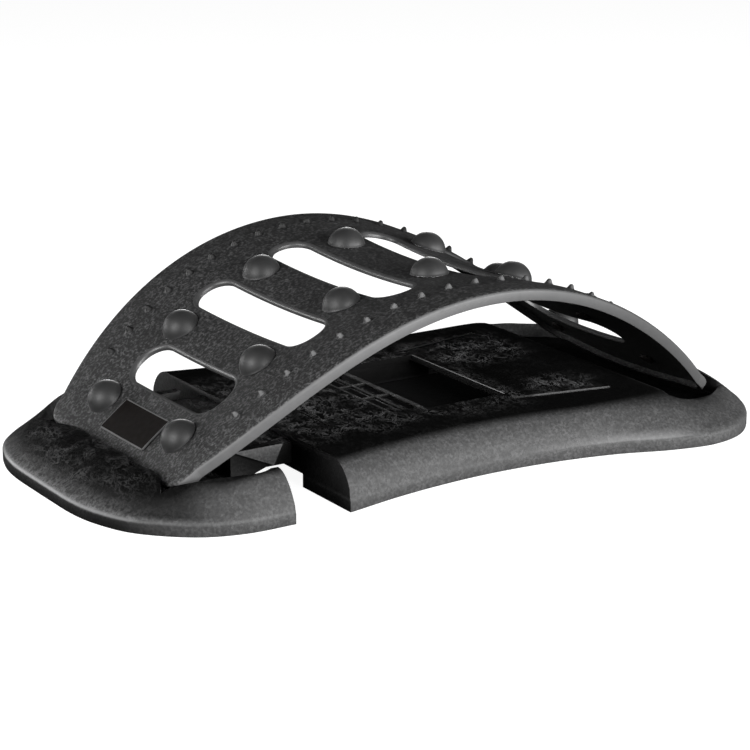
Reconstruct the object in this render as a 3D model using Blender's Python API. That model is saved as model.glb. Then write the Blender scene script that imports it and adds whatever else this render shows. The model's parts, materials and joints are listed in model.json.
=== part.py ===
"""Back stretcher board: a sprung massage arch that stands in a two-piece base.

The base's end piece slides on a tongue, and a catch finger in the tongue holds it at one of three places,
which sets how high the arch stands. All lengths are metres. +X runs along the board, from the sliding end
piece to the fixed end. +Y is the far side and +Z is up. The floor is z = 0, and the origin is under the
middle of the board's box.
"""
import math

import bmesh
import bpy
from mathutils import Matrix, Vector

MM = 0.001

# Clearances
TOUCH = 0.3 * MM
RUN = 0.5 * MM

# The arch's curve is that of a sprung strip, whose slope grows as a sine from the top to the feet. Its fixed
# half bends a little more near the top and less near the foot.
ARCH_TOP = 96.8 * MM
ARCH_HALF_LENGTH = 187.0 * MM
ARCH_HALF_WIDTH = 102.5 * MM
ARCH_RIM_HEIGHT = 5.1 * MM
ARCH_FOOT_DISH = 2.4 * MM
ARCH_FIXED_EXTRA = 0.05343
END_FOOT_GAP = 0.533 * MM
FIXED_FOOT_GAP = 0.273 * MM
POCKET_FLOOR = 9.7 * MM
CURVE_STEPS = 64


def strip_slope(share, bow, extra):
    """The arch's slope at a share of the way from its top to a foot."""
    return bow * (math.sin(math.pi * share / 2) + extra * math.sin(math.pi * share))


def strip_run(reach, bow, extra):
    """How far along and how far down the arch's curve has come at a length from its top."""
    part = reach / CURVE_STEPS
    x = 0.0
    drop = 0.0
    for k in range(CURVE_STEPS):
        angle = strip_slope((k + 0.5) * part / ARCH_HALF_LENGTH, bow, extra)
        x += part * math.cos(angle)
        drop += part * math.sin(angle)
    return x, drop


def foot_bow(gap, extra):
    """How steeply the arch bends for its foot to stand a gap above the pocket's floor."""
    low = 0.1
    high = 1.5
    for _ in range(60):
        bow = (low + high) / 2
        foot = ARCH_TOP - strip_run(ARCH_HALF_LENGTH, bow, extra)[1]
        if foot - (ARCH_RIM_HEIGHT + ARCH_FOOT_DISH) * math.cos(bow) > POCKET_FLOOR + gap:
            low = bow
        else:
            high = bow
    return (low + high) / 2


END_BOW = foot_bow(END_FOOT_GAP, 0.0)
FIXED_BOW = foot_bow(FIXED_FOOT_GAP, ARCH_FIXED_EXTRA)
FOOT_X = strip_run(ARCH_HALF_LENGTH, FIXED_BOW, ARCH_FIXED_EXTRA)[0]

# Base, seen from the side
PAD_PROUD = 0.4 * MM
SKIRT_TOP = 7.0 * MM
DECK_TOP = 24.3 * MM
MAIN_RIM_DROP = 3.3 * MM
END_RIM_DROP = 2.3 * MM
WALL = 3.0 * MM

# Base, seen from above: x and half width of the points that its outline passes through,
# measured from the arch's foot and from the arch's widest half
LENGTH_GAP = 30.4 * MM
END_CUT_X = -FOOT_X + 47.7 * MM
MAIN_CUT_X = END_CUT_X + LENGTH_GAP
MAIN_END_X = FOOT_X + 27.1 * MM
MAIN_OUTLINE = [
    (MAIN_CUT_X, ARCH_HALF_WIDTH - 0.1 * MM),
    (MAIN_CUT_X + 35.8 * MM, ARCH_HALF_WIDTH - 7.7 * MM),
    (14.0 * MM, ARCH_HALF_WIDTH - 12.5 * MM),
    (FOOT_X - 87.9 * MM, ARCH_HALF_WIDTH - 3.9 * MM),
    (FOOT_X - 53.9 * MM, ARCH_HALF_WIDTH + 7.3 * MM),
    (FOOT_X - 33.9 * MM, ARCH_HALF_WIDTH + 10.3 * MM),
    (FOOT_X - 12.9 * MM, ARCH_HALF_WIDTH + 5.1 * MM),
    (FOOT_X + 4.1 * MM, ARCH_HALF_WIDTH - 8.5 * MM),
    (FOOT_X + 17.1 * MM, ARCH_HALF_WIDTH - 28.5 * MM),
    (FOOT_X + 24.6 * MM, ARCH_HALF_WIDTH - 54.5 * MM),
    (MAIN_END_X, 0.0),
]
END_END_X = -FOOT_X - 35.8 * MM
END_OUTLINE = [
    (END_CUT_X, ARCH_HALF_WIDTH + 0.3 * MM),
    (-FOOT_X + 21.9 * MM, ARCH_HALF_WIDTH - 0.5 * MM),
    (-FOOT_X + 3.9 * MM, ARCH_HALF_WIDTH - 6.0 * MM),
    (-FOOT_X - 12.1 * MM, ARCH_HALF_WIDTH - 17.5 * MM),
    (-FOOT_X - 24.6 * MM, ARCH_HALF_WIDTH - 32.0 * MM),
    (-FOOT_X - 32.1 * MM, ARCH_HALF_WIDTH - 50.5 * MM),
    (END_END_X, 0.0),
]
OUTLINE_STEP = 11.0 * MM

# How the rail rounds over from the skirt to the deck: width of the rounding and how full it is
SIDE_ROUND = 16.6 * MM
MAIN_CORNER_ROUND = 34.0 * MM
MAIN_TIP_ROUND = 25.5 * MM
END_TIP_ROUND = 33.0 * MM
SIDE_FULLNESS = 0.6
TIP_FULLNESS = 1.25
END_SIDE_FULLNESS = 0.9
ROUND_STEPS = (0.0, 0.07, 0.2, 0.42, 0.7, 1.0)
CORNER_ROUND_FROM = FOOT_X - 103.9 * MM
CORNER_ROUND_TO = FOOT_X - 45.9 * MM
MAIN_TIP_FROM = FOOT_X - 5.9 * MM
MAIN_TIP_TO = FOOT_X + 22.1 * MM
FULL_FROM = FOOT_X - 108.9 * MM
FULL_TO = FOOT_X - 38.9 * MM
END_ROUND_FROM = FOOT_X - 35.9 * MM
END_ROUND_TO = FOOT_X + 24.1 * MM
END_FULL_FROM = FOOT_X - 43.9 * MM
END_FULL_TO = FOOT_X + 6.1 * MM
MAIN_FALL_FROM = FOOT_X - 49.9 * MM
END_FALL_FROM = FOOT_X - 17.9 * MM
FALL_LENGTH = 20.0 * MM

# Pockets for the arch's feet, with their sides measured from the foot and from the arch's widest half
POCKET_INNER_X = FOOT_X - 43.9 * MM
LOBE_CREST_X = FOOT_X + 1.6 * MM
LOBE_DEPTH = 5.5 * MM
LOBE_EDGES = (42.0 * MM, 2.0 * MM, -38.0 * MM, -ARCH_HALF_WIDTH + 32.5 * MM)
LOBE_END_Y = ARCH_HALF_WIDTH - 33.5 * MM
MAIN_POCKET_SIDE = [
    (-43.9 * MM, -16.5 * MM),
    (-39.4 * MM, -13.5 * MM),
    (-26.9 * MM, -12.5 * MM),
    (-16.9 * MM, -15.5 * MM),
    (-7.9 * MM, -21.0 * MM),
    (0.1 * MM, -27.5 * MM),
]
END_POCKET_SIDE = [
    (-43.9 * MM, -16.5 * MM),
    (-39.4 * MM, -14.5 * MM),
    (-26.9 * MM, -15.5 * MM),
    (-16.9 * MM, -19.5 * MM),
    (-7.9 * MM, -26.0 * MM),
    (0.1 * MM, -32.0 * MM),
]
END_POCKET_FAR_SIDE = [
    (-43.9 * MM, -16.5 * MM),
    (-39.4 * MM, -13.0 * MM),
    (-25.9 * MM, -13.0 * MM),
    (-15.9 * MM, -15.5 * MM),
    (-6.9 * MM, -20.5 * MM),
    (1.1 * MM, -27.5 * MM),
]
POCKET_MOUTH_HALF = ARCH_HALF_WIDTH - 16.5 * MM
POCKET_KEEP_HALF = ARCH_HALF_WIDTH + 7.5 * MM

# Tongue of the end piece, and the sleeve that it runs in
TONGUE_HALF = 46.8 * MM
TONGUE_BOTTOM = 10.3 * MM
TONGUE_TOP = 20.6 * MM
TONGUE_SKIN = 3.0 * MM
TONGUE_TIP_X = -10.0 * MM
RIB_WIDTH = 10.0 * MM
SLEEVE_END_X = 68.0 * MM
COVER_THICK = 2.5 * MM
NOTCH_PITCH = 8.7 * MM
TRAVEL = NOTCH_PITCH
STOP_THICK = 3.0 * MM

# Gussets beside the tongue's root
GUSSET_TIP_X = MAIN_CUT_X - TRAVEL - 1.5 * MM
GUSSET_HEEL_X = GUSSET_TIP_X - 5.0 * MM
GUSSET_HEEL_Z = 14.0 * MM
GUSSET_ROOT_X = END_CUT_X - 7.8 * MM
GUSSET_INNER = 50.0 * MM
GUSSET_SETBACK = 53.5 * MM
GUSSET_OUTER = 56.0 * MM

# Latch windows, recess and grooves in the deck
WINDOW_LEFT_X = -22.6 * MM
WINDOW_HALF_Y = 40.0 * MM
WINDOW_ROW_Y = 11.6 * MM
WINDOW_BAR = 1.4 * MM
WINDOW_SKIN = 1.2 * MM
RECESS_LENGTH = 48.0 * MM
RECESS_HALF_Y = 44.0 * MM
GROOVE_FROM = (44.4 * MM, 53.0 * MM)
GROOVE_TO = (99.7 * MM, 64.0 * MM)
GROOVE_WIDTH = 3.2 * MM
GROOVE_DEPTH = 2.0 * MM
SEAM_X = -62.0 * MM
SEAM_WIDTH = 1.2 * MM
SEAM_DEPTH = 0.8 * MM

# Catch finger
FINGER_ROOT_X = -52.0 * MM
FINGER_HALF = 14.0 * MM
FINGER_HEAD_LENGTH = 13.0 * MM
FINGER_HEAD_HALF = 38.0 * MM
FINGER_THICK = 2.4 * MM
TOOTH_WIDTH = 16.0 * MM

# Screws of the guide cover
SCREW_XS = (MAIN_CUT_X + 11.8 * MM, -8.0 * MM, SLEEVE_END_X - 10.0 * MM)
SCREW_RADIUS = 1.4 * MM
SCREW_LENGTH = 9.0 * MM
SCREW_HEAD_RADIUS = 3.0 * MM
SCREW_HEAD_THICK = 1.8 * MM

# Foot pads
PAD_RADIUS = 7.0 * MM
PAD_THICK = 2.4 * MM
MAIN_PADS = (
    (MAIN_CUT_X + 17.8 * MM, ARCH_HALF_WIDTH - 22.5 * MM),
    (FOOT_X - 23.9 * MM, ARCH_HALF_WIDTH - 18.5 * MM),
)
END_PADS = ((-FOOT_X + 13.9 * MM, ARCH_HALF_WIDTH - 24.5 * MM),)

# Arch
ARCH_THICK = 3.0 * MM
ARCH_RIM_WIDTH = 3.0 * MM
ARCH_TAPER_2 = 0.04616
ARCH_TAPER_4 = 0.01674
ARCH_CROWN = 1.0 * MM
ARCH_DISH = 5.5 * MM
ARCH_DISH_SHARE = 0.82
ARCH_EDGE_WIDTH = 2.4 * MM
ARCH_EDGE_DROP = 0.8 * MM
SLOT_EDGE = 1.0 * MM
ARCH_BENDS = 22
ARCH_CREASE_Y = 64.0 * MM
FOOT_CORNER = 14.0 * MM
TAPER_UNIT = 100.0 * MM

# Cross slots: distance from the arch's top, width and half length
SLOTS = ((29.0 * MM, 22.5 * MM, 59.0 * MM), (81.0 * MM, 22.5 * MM, 55.0 * MM), (134.0 * MM, 25.0 * MM, 43.3 * MM))
SLOT_END_FLAT = 0.5 * MM

# Massage domes
DOME_PITCH = 54.2 * MM
DOME_Y = 40.0 * MM
DOME_ROWS = 7
DOME_RADIUS = 10.0 * MM
DOME_HEIGHT = 8.0 * MM
DOME_SIDES = 14
DOME_GAP = 0.7 * MM
STEM_RADIUS = 2.6 * MM
STEM_FLANGE_RADIUS = 4.2 * MM
STEM_FLANGE_THICK = 1.2 * MM

# Small bumps along both edges
BUMP_PITCH = 15.53 * MM
BUMP_COUNT = 19
BUMP_Y = ARCH_HALF_WIDTH - 21.9 * MM
BUMP_TAPER = 0.0912
BUMP_RADIUS = 2.2 * MM
BUMP_HEIGHT = 3.0 * MM
BUMP_TIP = 0.35
BUMP_SIDES = 6

# Badge plate, left bare
BADGE_LENGTH = 20.0 * MM
BADGE_S = -ARCH_HALF_LENGTH + 19.5 * MM
BADGE_HALF_Y = 23.0 * MM
BADGE_THICK = 0.8 * MM
BADGE_GAP = 0.6 * MM

# What follows from the sizes above
SHELL_BOTTOM = PAD_PROUD
SHIFT_X = -(MAIN_END_X + END_END_X) / 2
DECK_UNDER = DECK_TOP - WALL
SLEEVE_HALF = TONGUE_HALF + RUN
RIB_OUTER = SLEEVE_HALF + RIB_WIDTH
COVER_TOP = TONGUE_BOTTOM - RUN
COVER_BOTTOM = COVER_TOP - COVER_THICK
RIB_BOTTOM = COVER_TOP + TOUCH
RECESS_LEFT_X = WINDOW_LEFT_X + 2 * NOTCH_PITCH + WINDOW_BAR
RECESS_RIGHT_X = RECESS_LEFT_X + RECESS_LENGTH
STOP_X = TONGUE_TIP_X + TRAVEL + RUN
FINGER_TIP_X = WINDOW_LEFT_X + NOTCH_PITCH - WINDOW_BAR + RUN
FINGER_TOP = TONGUE_TOP - TOUCH
TOOTH_TOP = DECK_TOP - WINDOW_SKIN - TOUCH
TOOTH_LENGTH = NOTCH_PITCH - WINDOW_BAR - 2 * RUN
TRAY_FLOOR_UNDER = POCKET_FLOOR - WALL


def material(name, colour, roughness):
    """A plain plastic or rubber of one colour."""
    made = bpy.data.materials.new(name)
    made.use_nodes = True
    shader = made.node_tree.nodes["Principled BSDF"]
    shader.inputs["Base Color"].default_value = (*colour, 1.0)
    shader.inputs["Roughness"].default_value = roughness
    shader.inputs["Metallic"].default_value = 0.0
    return made


def empty(name, place, parent=None):
    """A joint's or the assembly's reference point, at a place in the world."""
    made = bpy.data.objects.new(name, None)
    made.empty_display_size = 0.02
    bpy.context.collection.objects.link(made)
    made.parent = parent
    made.location = Vector(place) - (parent.matrix_world.translation if parent else Vector())
    bpy.context.view_layer.update()
    return made


def add_object(name, bm, parent, look=None, cutter=False):
    """Turns a bmesh in board coordinates into an object under its parent, or into a hidden cutter."""
    bmesh.ops.recalc_face_normals(bm, faces=bm.faces)
    bm.transform(Matrix.Translation(Vector((SHIFT_X, 0, 0)) - parent.matrix_world.translation))
    mesh = bpy.data.meshes.new(name)
    bm.to_mesh(mesh)
    bm.free()
    made = bpy.data.objects.new(name, mesh)
    bpy.context.collection.objects.link(made)
    made.parent = parent
    if cutter:
        made.hide_render = True
        made.display_type = "WIRE"
    if look:
        mesh.materials.append(look)
    return made


def boolean(piece, tool, operation="DIFFERENCE"):
    """Cuts a tool out of a piece, or adds it."""
    step = piece.modifiers.new(tool.name, "BOOLEAN")
    step.operation = operation
    step.solver = "EXACT"
    step.object = tool


def box(bm, low, high):
    """Adds a box between two corners."""
    made = bmesh.ops.create_cube(bm, size=1.0)["verts"]
    middle = (Vector(low) + Vector(high)) / 2
    size = Vector(high) - Vector(low)
    for v in made:
        v.co = middle + Vector((v.co.x * size.x, v.co.y * size.y, v.co.z * size.z))


def cylinder(bm, centre, radius, low, high, sides=16):
    """Adds an upright cylinder."""
    place = Matrix.Translation((centre[0], centre[1], (low + high) / 2))
    bmesh.ops.create_cone(
        bm, cap_ends=True, segments=sides, radius1=radius, radius2=radius, depth=high - low, matrix=place
    )


def prism(bm, points, low, high):
    """Adds an upright prism over a closed outline."""
    bottom = [bm.verts.new((x, y, low)) for x, y in points]
    top = [bm.verts.new((x, y, high)) for x, y in points]
    bm.faces.new(bottom)
    bm.faces.new(top)
    count = len(points)
    for i in range(count):
        j = (i + 1) % count
        bm.faces.new((bottom[i], bottom[j], top[j], top[i]))


def smoothstep(value, low, high):
    """0 below low, 1 above high, and a smooth rise between."""
    t = min(max((value - low) / (high - low), 0.0), 1.0)
    return t * t * (3 - 2 * t)


def mix(a, b, t):
    return a + (b - a) * t


def spline(points, step):
    """Points about a step apart on a Catmull-Rom curve through the given points."""
    pts = [Vector(p) for p in points]
    pts = [2 * pts[0] - pts[1], *pts, 2 * pts[-1] - pts[-2]]
    out = []
    for a, b, c, d in zip(pts, pts[1:], pts[2:], pts[3:]):
        count = max(1, round((c - b).length / step))
        for k in range(count):
            t = k / count
            out.append(
                0.5 * (2 * b + (c - a) * t + (2 * a - 5 * b + 4 * c - d) * t**2 + (3 * b - a - 3 * c + d) * t**3)
            )
    out.append(pts[-2])
    return out


def base_outline(points):
    """The near half of a base outline and then its far half, from cut face to cut face."""
    near = [(x, -y) for x, y in points]
    far = [(x, y) for x, y in reversed(points[:-1])]
    return spline(near + far, OUTLINE_STEP)


def inward_normals(path, towards):
    """Unit normals of an open path, on the side of a point, and square to the board at its two ends."""
    out = []
    last = len(path) - 1
    for i, p in enumerate(path):
        along = path[min(i + 1, last)] - path[max(i - 1, 0)]
        normal = Vector((-along.y, along.x)).normalized()
        if i in (0, last):
            normal = Vector((0.0, 1.0))
        if normal.dot(towards - p) < 0:
            normal = -normal
        out.append(normal)
    return out


def deck_height(x):
    """Height of the deck, which falls a little towards the pockets' outer rims."""
    if x > 0:
        return DECK_TOP - MAIN_RIM_DROP * smoothstep(x, MAIN_FALL_FROM, MAIN_FALL_FROM + FALL_LENGTH)
    return DECK_TOP - END_RIM_DROP * smoothstep(-x, END_FALL_FROM, END_FALL_FROM + FALL_LENGTH)


def rail_rings(outline, rounding, fullness, cut_x, sink=0.0):
    """Rings of points from a base shell's bottom edge up over its rail. A sink gives the shell's inside."""
    side = 1.0 if outline[-1][0] > cut_x else -1.0
    path = base_outline(outline)
    normals = inward_normals(path, Vector(((cut_x + outline[-1][0]) / 2, 0.0)))
    rings = []
    for step in (None, *ROUND_STEPS):
        ring = []
        for p, n in zip(path, normals):
            width = rounding(p.x)
            spot = p + n * (sink + width * (step or 0.0))
            if sink and (spot.x - cut_x) * side < sink:
                spot.x = cut_x + side * sink
            if step is None:
                height = -1.0 * MM if sink else SHELL_BOTTOM
            else:
                share = (1 - (1 - step) ** 2) ** fullness(p.x)
                height = mix(SKIRT_TOP, deck_height(spot.x), share) - sink
            ring.append((spot.x, spot.y, height))
        rings.append(ring)
    return rings


def ring_solid(bm, rings):
    """Closes rings that run from one cut edge to the other into a solid, with decks of flat strips."""
    levels = [[bm.verts.new(p) for p in ring] for ring in rings]
    for lower, upper in zip(levels, levels[1:]):
        for i in range(len(lower) - 1):
            bm.faces.new((lower[i], lower[i + 1], upper[i + 1], upper[i]))
    for level in (levels[0], levels[-1]):
        last = len(level) - 1
        for i in range(last // 2):
            corners = [level[i], level[i + 1], level[last - i - 1], level[last - i]]
            bm.faces.new(list(dict.fromkeys(corners)))
    first = [level[0] for level in levels]
    final = [level[-1] for level in levels]
    bm.faces.new(first + final[::-1])


def main_round(x):
    corner = mix(SIDE_ROUND, MAIN_CORNER_ROUND, smoothstep(x, CORNER_ROUND_FROM, CORNER_ROUND_TO))
    return mix(corner, MAIN_TIP_ROUND, smoothstep(x, MAIN_TIP_FROM, MAIN_TIP_TO))


def main_fullness(x):
    return mix(SIDE_FULLNESS, TIP_FULLNESS, smoothstep(x, FULL_FROM, FULL_TO))


def end_round(x):
    return mix(SIDE_ROUND, END_TIP_ROUND, smoothstep(-x, END_ROUND_FROM, END_ROUND_TO))


def end_fullness(x):
    return mix(END_SIDE_FULLNESS, TIP_FULLNESS, smoothstep(-x, END_FULL_FROM, END_FULL_TO))


def pocket_outline(near_points, far_points, side):
    """Outline of a foot pocket from above: a straight inner edge, round corners and three lobes."""
    near = [(side * (FOOT_X + x), -ARCH_HALF_WIDTH - y) for x, y in near_points]
    far = [(side * (FOOT_X + x), ARCH_HALF_WIDTH + y) for x, y in reversed(far_points)]
    bottom_x = LOBE_CREST_X + LOBE_DEPTH
    lobes = []
    edges = LOBE_EDGES[::-1]
    for low, high in zip(edges, edges[1:]):
        for k in range(5):
            share = k / 5
            bulge = LOBE_DEPTH * math.sin(math.pi * share) ** 0.8
            lobes.append((side * (bottom_x - bulge), mix(low, high, share)))
    lobes.append((side * bottom_x, edges[-1]))
    lobes.append((side * bottom_x, LOBE_END_Y))
    return near + lobes + far


def pocket_cutter(name, near_points, far_points, side, parent):
    bm = bmesh.new()
    prism(bm, pocket_outline(near_points, far_points, side), POCKET_FLOOR, DECK_TOP + 5 * MM)
    return add_object(name, bm, parent, cutter=True)


def pocket_keep(bm, side):
    """Block under a pocket that stays solid: the pocket's floor and walls are what is left of it."""
    inner = side * (POCKET_INNER_X - WALL)
    outer = side * (LOBE_CREST_X + LOBE_DEPTH + WALL)
    low = (min(inner, outer), -POCKET_KEEP_HALF, TRAY_FLOOR_UNDER)
    high = (max(inner, outer), POCKET_KEEP_HALF, DECK_TOP + 10 * MM)
    box(bm, low, high)


def pad_seats(name, pads, parent):
    """Round seats that let the pads stand proud of the shell's bottom edge."""
    bm = bmesh.new()
    for x, y in pads:
        for side in (-1, 1):
            cylinder(bm, (x, side * y), PAD_RADIUS + TOUCH, -1 * MM, PAD_THICK + TOUCH)
    return add_object(name, bm, parent, cutter=True)


def pad_posts(bm, pads):
    """Posts inside the shell that carry the pads."""
    for x, y in pads:
        for side in (-1, 1):
            cylinder(bm, (x, side * y), PAD_RADIUS + TOUCH + WALL / 2, -3 * MM, DECK_TOP + 10 * MM)


def hollow(name, outline, rounding, fullness, cut_x, keep, parent):
    """The inside of a base shell, less the blocks that stay solid in it."""
    bm = bmesh.new()
    ring_solid(bm, rail_rings(outline, rounding, fullness, cut_x, sink=WALL))
    made = add_object(name, bm, parent, cutter=True)
    for number, fill in enumerate(keep):
        blocks = bmesh.new()
        fill(blocks)
        boolean(made, add_object(f"{name}_keep_{number}", blocks, parent, cutter=True))
    return made


def sleeve_ribs(bm):
    """The two guide ribs beside the tongue."""
    for side in (-1, 1):
        ys = sorted((side * SLEEVE_HALF, side * RIB_OUTER))
        box(bm, (MAIN_CUT_X - WALL, ys[0], RIB_BOTTOM), (SLEEVE_END_X, ys[1], DECK_TOP + 10 * MM))


def sleeve_back(bm):
    """The wall that closes the sleeve behind the recess."""
    low = (SLEEVE_END_X - WALL, -SLEEVE_HALF - RUN, RIB_BOTTOM)
    box(bm, low, (SLEEVE_END_X, SLEEVE_HALF + RUN, DECK_TOP + 10 * MM))


def sleeve_stop(bm):
    """The rib that the tongue's tip meets at the end of its travel."""
    low = (STOP_X, -SLEEVE_HALF - RUN, RIB_BOTTOM)
    box(bm, low, (STOP_X + STOP_THICK, SLEEVE_HALF + RUN, DECK_UNDER + RUN))


def deck_cuts(bm):
    """Latch windows and recess, right through the deck."""
    top = DECK_TOP + 5 * MM
    low = DECK_UNDER - 5 * MM
    rows = (
        (-WINDOW_HALF_Y, -WINDOW_ROW_Y - WINDOW_BAR / 2),
        (-WINDOW_ROW_Y + WINDOW_BAR / 2, WINDOW_ROW_Y - WINDOW_BAR / 2),
        (WINDOW_ROW_Y + WINDOW_BAR / 2, WINDOW_HALF_Y),
    )
    for column in range(2):
        left = WINDOW_LEFT_X + column * NOTCH_PITCH
        for near, far in rows:
            box(bm, (left, near, low), (left + NOTCH_PITCH - WINDOW_BAR, far, top))
    box(bm, (RECESS_LEFT_X, -RECESS_HALF_Y, low), (RECESS_RIGHT_X, RECESS_HALF_Y, top))


def tooth_channel(bm):
    """Room under the windows for the catch's teeth as they pass."""
    low = (FINGER_TIP_X - FINGER_HEAD_LENGTH - RUN, -WINDOW_HALF_Y, DECK_UNDER - 1 * MM)
    box(bm, low, (RECESS_LEFT_X + RUN, WINDOW_HALF_Y, DECK_TOP - WINDOW_SKIN))


def surface_grooves(bm):
    """Two long grooves that follow the waist, and a thin seam across the deck."""
    along = Vector(GROOVE_TO) - Vector(GROOVE_FROM)
    square = Vector((-along.y, along.x)).normalized() * (GROOVE_WIDTH / 2)
    start = Vector(GROOVE_FROM)
    end = Vector(GROOVE_TO)
    for side in (-1, 1):
        corners = [start - square, end - square, end + square, start + square]
        prism(bm, [(c.x, side * c.y) for c in corners], DECK_TOP - GROOVE_DEPTH, DECK_TOP + 5 * MM)
    half = SLEEVE_HALF
    box(bm, (SEAM_X - SEAM_WIDTH / 2, -half, DECK_TOP - SEAM_DEPTH), (SEAM_X + SEAM_WIDTH / 2, half, DECK_TOP + 5 * MM))


def screw_places():
    middle = (SLEEVE_HALF + RIB_OUTER) / 2
    return [(x, side * middle) for x in SCREW_XS for side in (-1, 1)]


def make_base_main(parent, look):
    """The fixed base piece: deck, rails, foot pocket, and the sleeve for the tongue."""
    bm = bmesh.new()
    ring_solid(bm, rail_rings(MAIN_OUTLINE, main_round, main_fullness, MAIN_CUT_X))
    made = add_object("base_main", bm, parent, look)
    keep = [
        sleeve_ribs,
        sleeve_stop,
        sleeve_back,
        lambda blocks: pocket_keep(blocks, 1),
        lambda blocks: pad_posts(blocks, MAIN_PADS),
    ]
    boolean(made, hollow("main_hollow", MAIN_OUTLINE, main_round, main_fullness, MAIN_CUT_X, keep, parent))
    boolean(made, pocket_cutter("main_pocket", MAIN_POCKET_SIDE, MAIN_POCKET_SIDE, 1, parent))
    cuts = bmesh.new()
    box(cuts, (MAIN_CUT_X - 5 * MM, -SLEEVE_HALF, -1 * MM), (MAIN_CUT_X + WALL + RUN, SLEEVE_HALF, DECK_UNDER))
    boolean(made, add_object("sleeve_mouth", cuts, parent, cutter=True))
    cuts = bmesh.new()
    for side in (-1, 1):
        ys = sorted((side * (SLEEVE_HALF - RUN), side * (RIB_OUTER + TOUCH)))
        box(cuts, (MAIN_CUT_X - 5 * MM, ys[0], -1 * MM), (MAIN_CUT_X + WALL + RUN, ys[1], RIB_BOTTOM))
    boolean(made, add_object("cover_mouth", cuts, parent, cutter=True))
    for name, fill in (
        ("deck_cuts", deck_cuts),
        ("tooth_channel", tooth_channel),
        ("surface_grooves", surface_grooves),
    ):
        cuts = bmesh.new()
        fill(cuts)
        boolean(made, add_object(name, cuts, parent, cutter=True))
    holes = bmesh.new()
    for place in screw_places():
        cylinder(holes, place, SCREW_RADIUS + TOUCH, RIB_BOTTOM - 1 * MM, COVER_BOTTOM + SCREW_LENGTH + RUN, 10)
    boolean(made, add_object("screw_holes", holes, parent, cutter=True))
    boolean(made, pad_seats("main_pad_seats", MAIN_PADS, parent))
    return made


def make_guide_cover(parent, look):
    """The plate that closes the sleeve from below."""
    bm = bmesh.new()
    box(bm, (MAIN_CUT_X, -RIB_OUTER, COVER_BOTTOM), (SLEEVE_END_X, RIB_OUTER, COVER_TOP))
    made = add_object("guide_cover", bm, parent, look)
    holes = bmesh.new()
    for place in screw_places():
        cylinder(holes, place, SCREW_RADIUS + TOUCH, COVER_BOTTOM - 1 * MM, COVER_TOP + 1 * MM, 10)
    boolean(made, add_object("cover_holes", holes, parent, cutter=True))
    return made


def lathe(bm, profile, sides):
    """Turns a profile of (radius, height) about +Z. Its first and last points are on the axis."""
    rows = []
    for radius, height in profile:
        if radius == 0:
            rows.append([bm.verts.new((0, 0, height))])
        else:
            rows.append(
                [
                    bm.verts.new(
                        (
                            radius * math.cos(2 * math.pi * k / sides),
                            radius * math.sin(2 * math.pi * k / sides),
                            height,
                        )
                    )
                    for k in range(sides)
                ]
            )
    for lower, upper in zip(rows, rows[1:]):
        for k in range(sides):
            j = (k + 1) % sides
            corners = [lower[k % len(lower)], lower[j % len(lower)], upper[j % len(upper)], upper[k % len(upper)]]
            bm.faces.new(list(dict.fromkeys(corners)))


def make_cover_screws(parent, look):
    """Six pan-head screws that hold the guide cover."""
    head_top = COVER_BOTTOM - TOUCH
    profile = [
        (0, head_top - SCREW_HEAD_THICK),
        (SCREW_HEAD_RADIUS * 0.75, head_top - SCREW_HEAD_THICK),
        (SCREW_HEAD_RADIUS, head_top - SCREW_HEAD_THICK * 0.55),
        (SCREW_HEAD_RADIUS, head_top),
        (SCREW_RADIUS, head_top),
        (SCREW_RADIUS, COVER_BOTTOM + SCREW_LENGTH - 1.5 * MM),
        (0, COVER_BOTTOM + SCREW_LENGTH),
    ]
    for number, (x, y) in enumerate(screw_places(), 1):
        bm = bmesh.new()
        lathe(bm, profile, 10)
        bmesh.ops.translate(bm, verts=bm.verts, vec=(x, y, 0))
        made = add_object(f"cover_screw_{number}", bm, parent, look)
        made.data.shade_smooth()
        made.data.set_sharp_from_angle(angle=math.radians(40))


def tongue(bm):
    """The tongue, a flat channel that is open below."""
    start = END_CUT_X - WALL
    box(bm, (start, -TONGUE_HALF, TONGUE_BOTTOM), (TONGUE_TIP_X, TONGUE_HALF, TONGUE_TOP))


def side_prism(bm, points, near, far):
    """Adds a prism between two widths over a closed outline that is seen from the side."""
    front = [bm.verts.new((x, near, z)) for x, z in points]
    back = [bm.verts.new((x, far, z)) for x, z in points]
    bm.faces.new(front)
    bm.faces.new(back)
    count = len(points)
    for i in range(count):
        j = (i + 1) % count
        bm.faces.new((front[i], front[j], back[j], back[i]))


def gussets(name, low_y, high_y, full, parent):
    """A pair of gussets on the pocket floor that reach out over the gap, as high as the deck."""
    bm = bmesh.new()
    points = [(GUSSET_ROOT_X, DECK_TOP), (GUSSET_TIP_X, DECK_TOP), (GUSSET_HEEL_X, GUSSET_HEEL_Z)]
    if full:
        foot = POCKET_FLOOR - WALL / 2
        points += [(END_CUT_X - WALL / 2, foot), (GUSSET_ROOT_X, foot)]
    for side in (-1, 1):
        side_prism(bm, points, *sorted((side * low_y, side * high_y)))
    return add_object(name, bm, parent, cutter=True)


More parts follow.
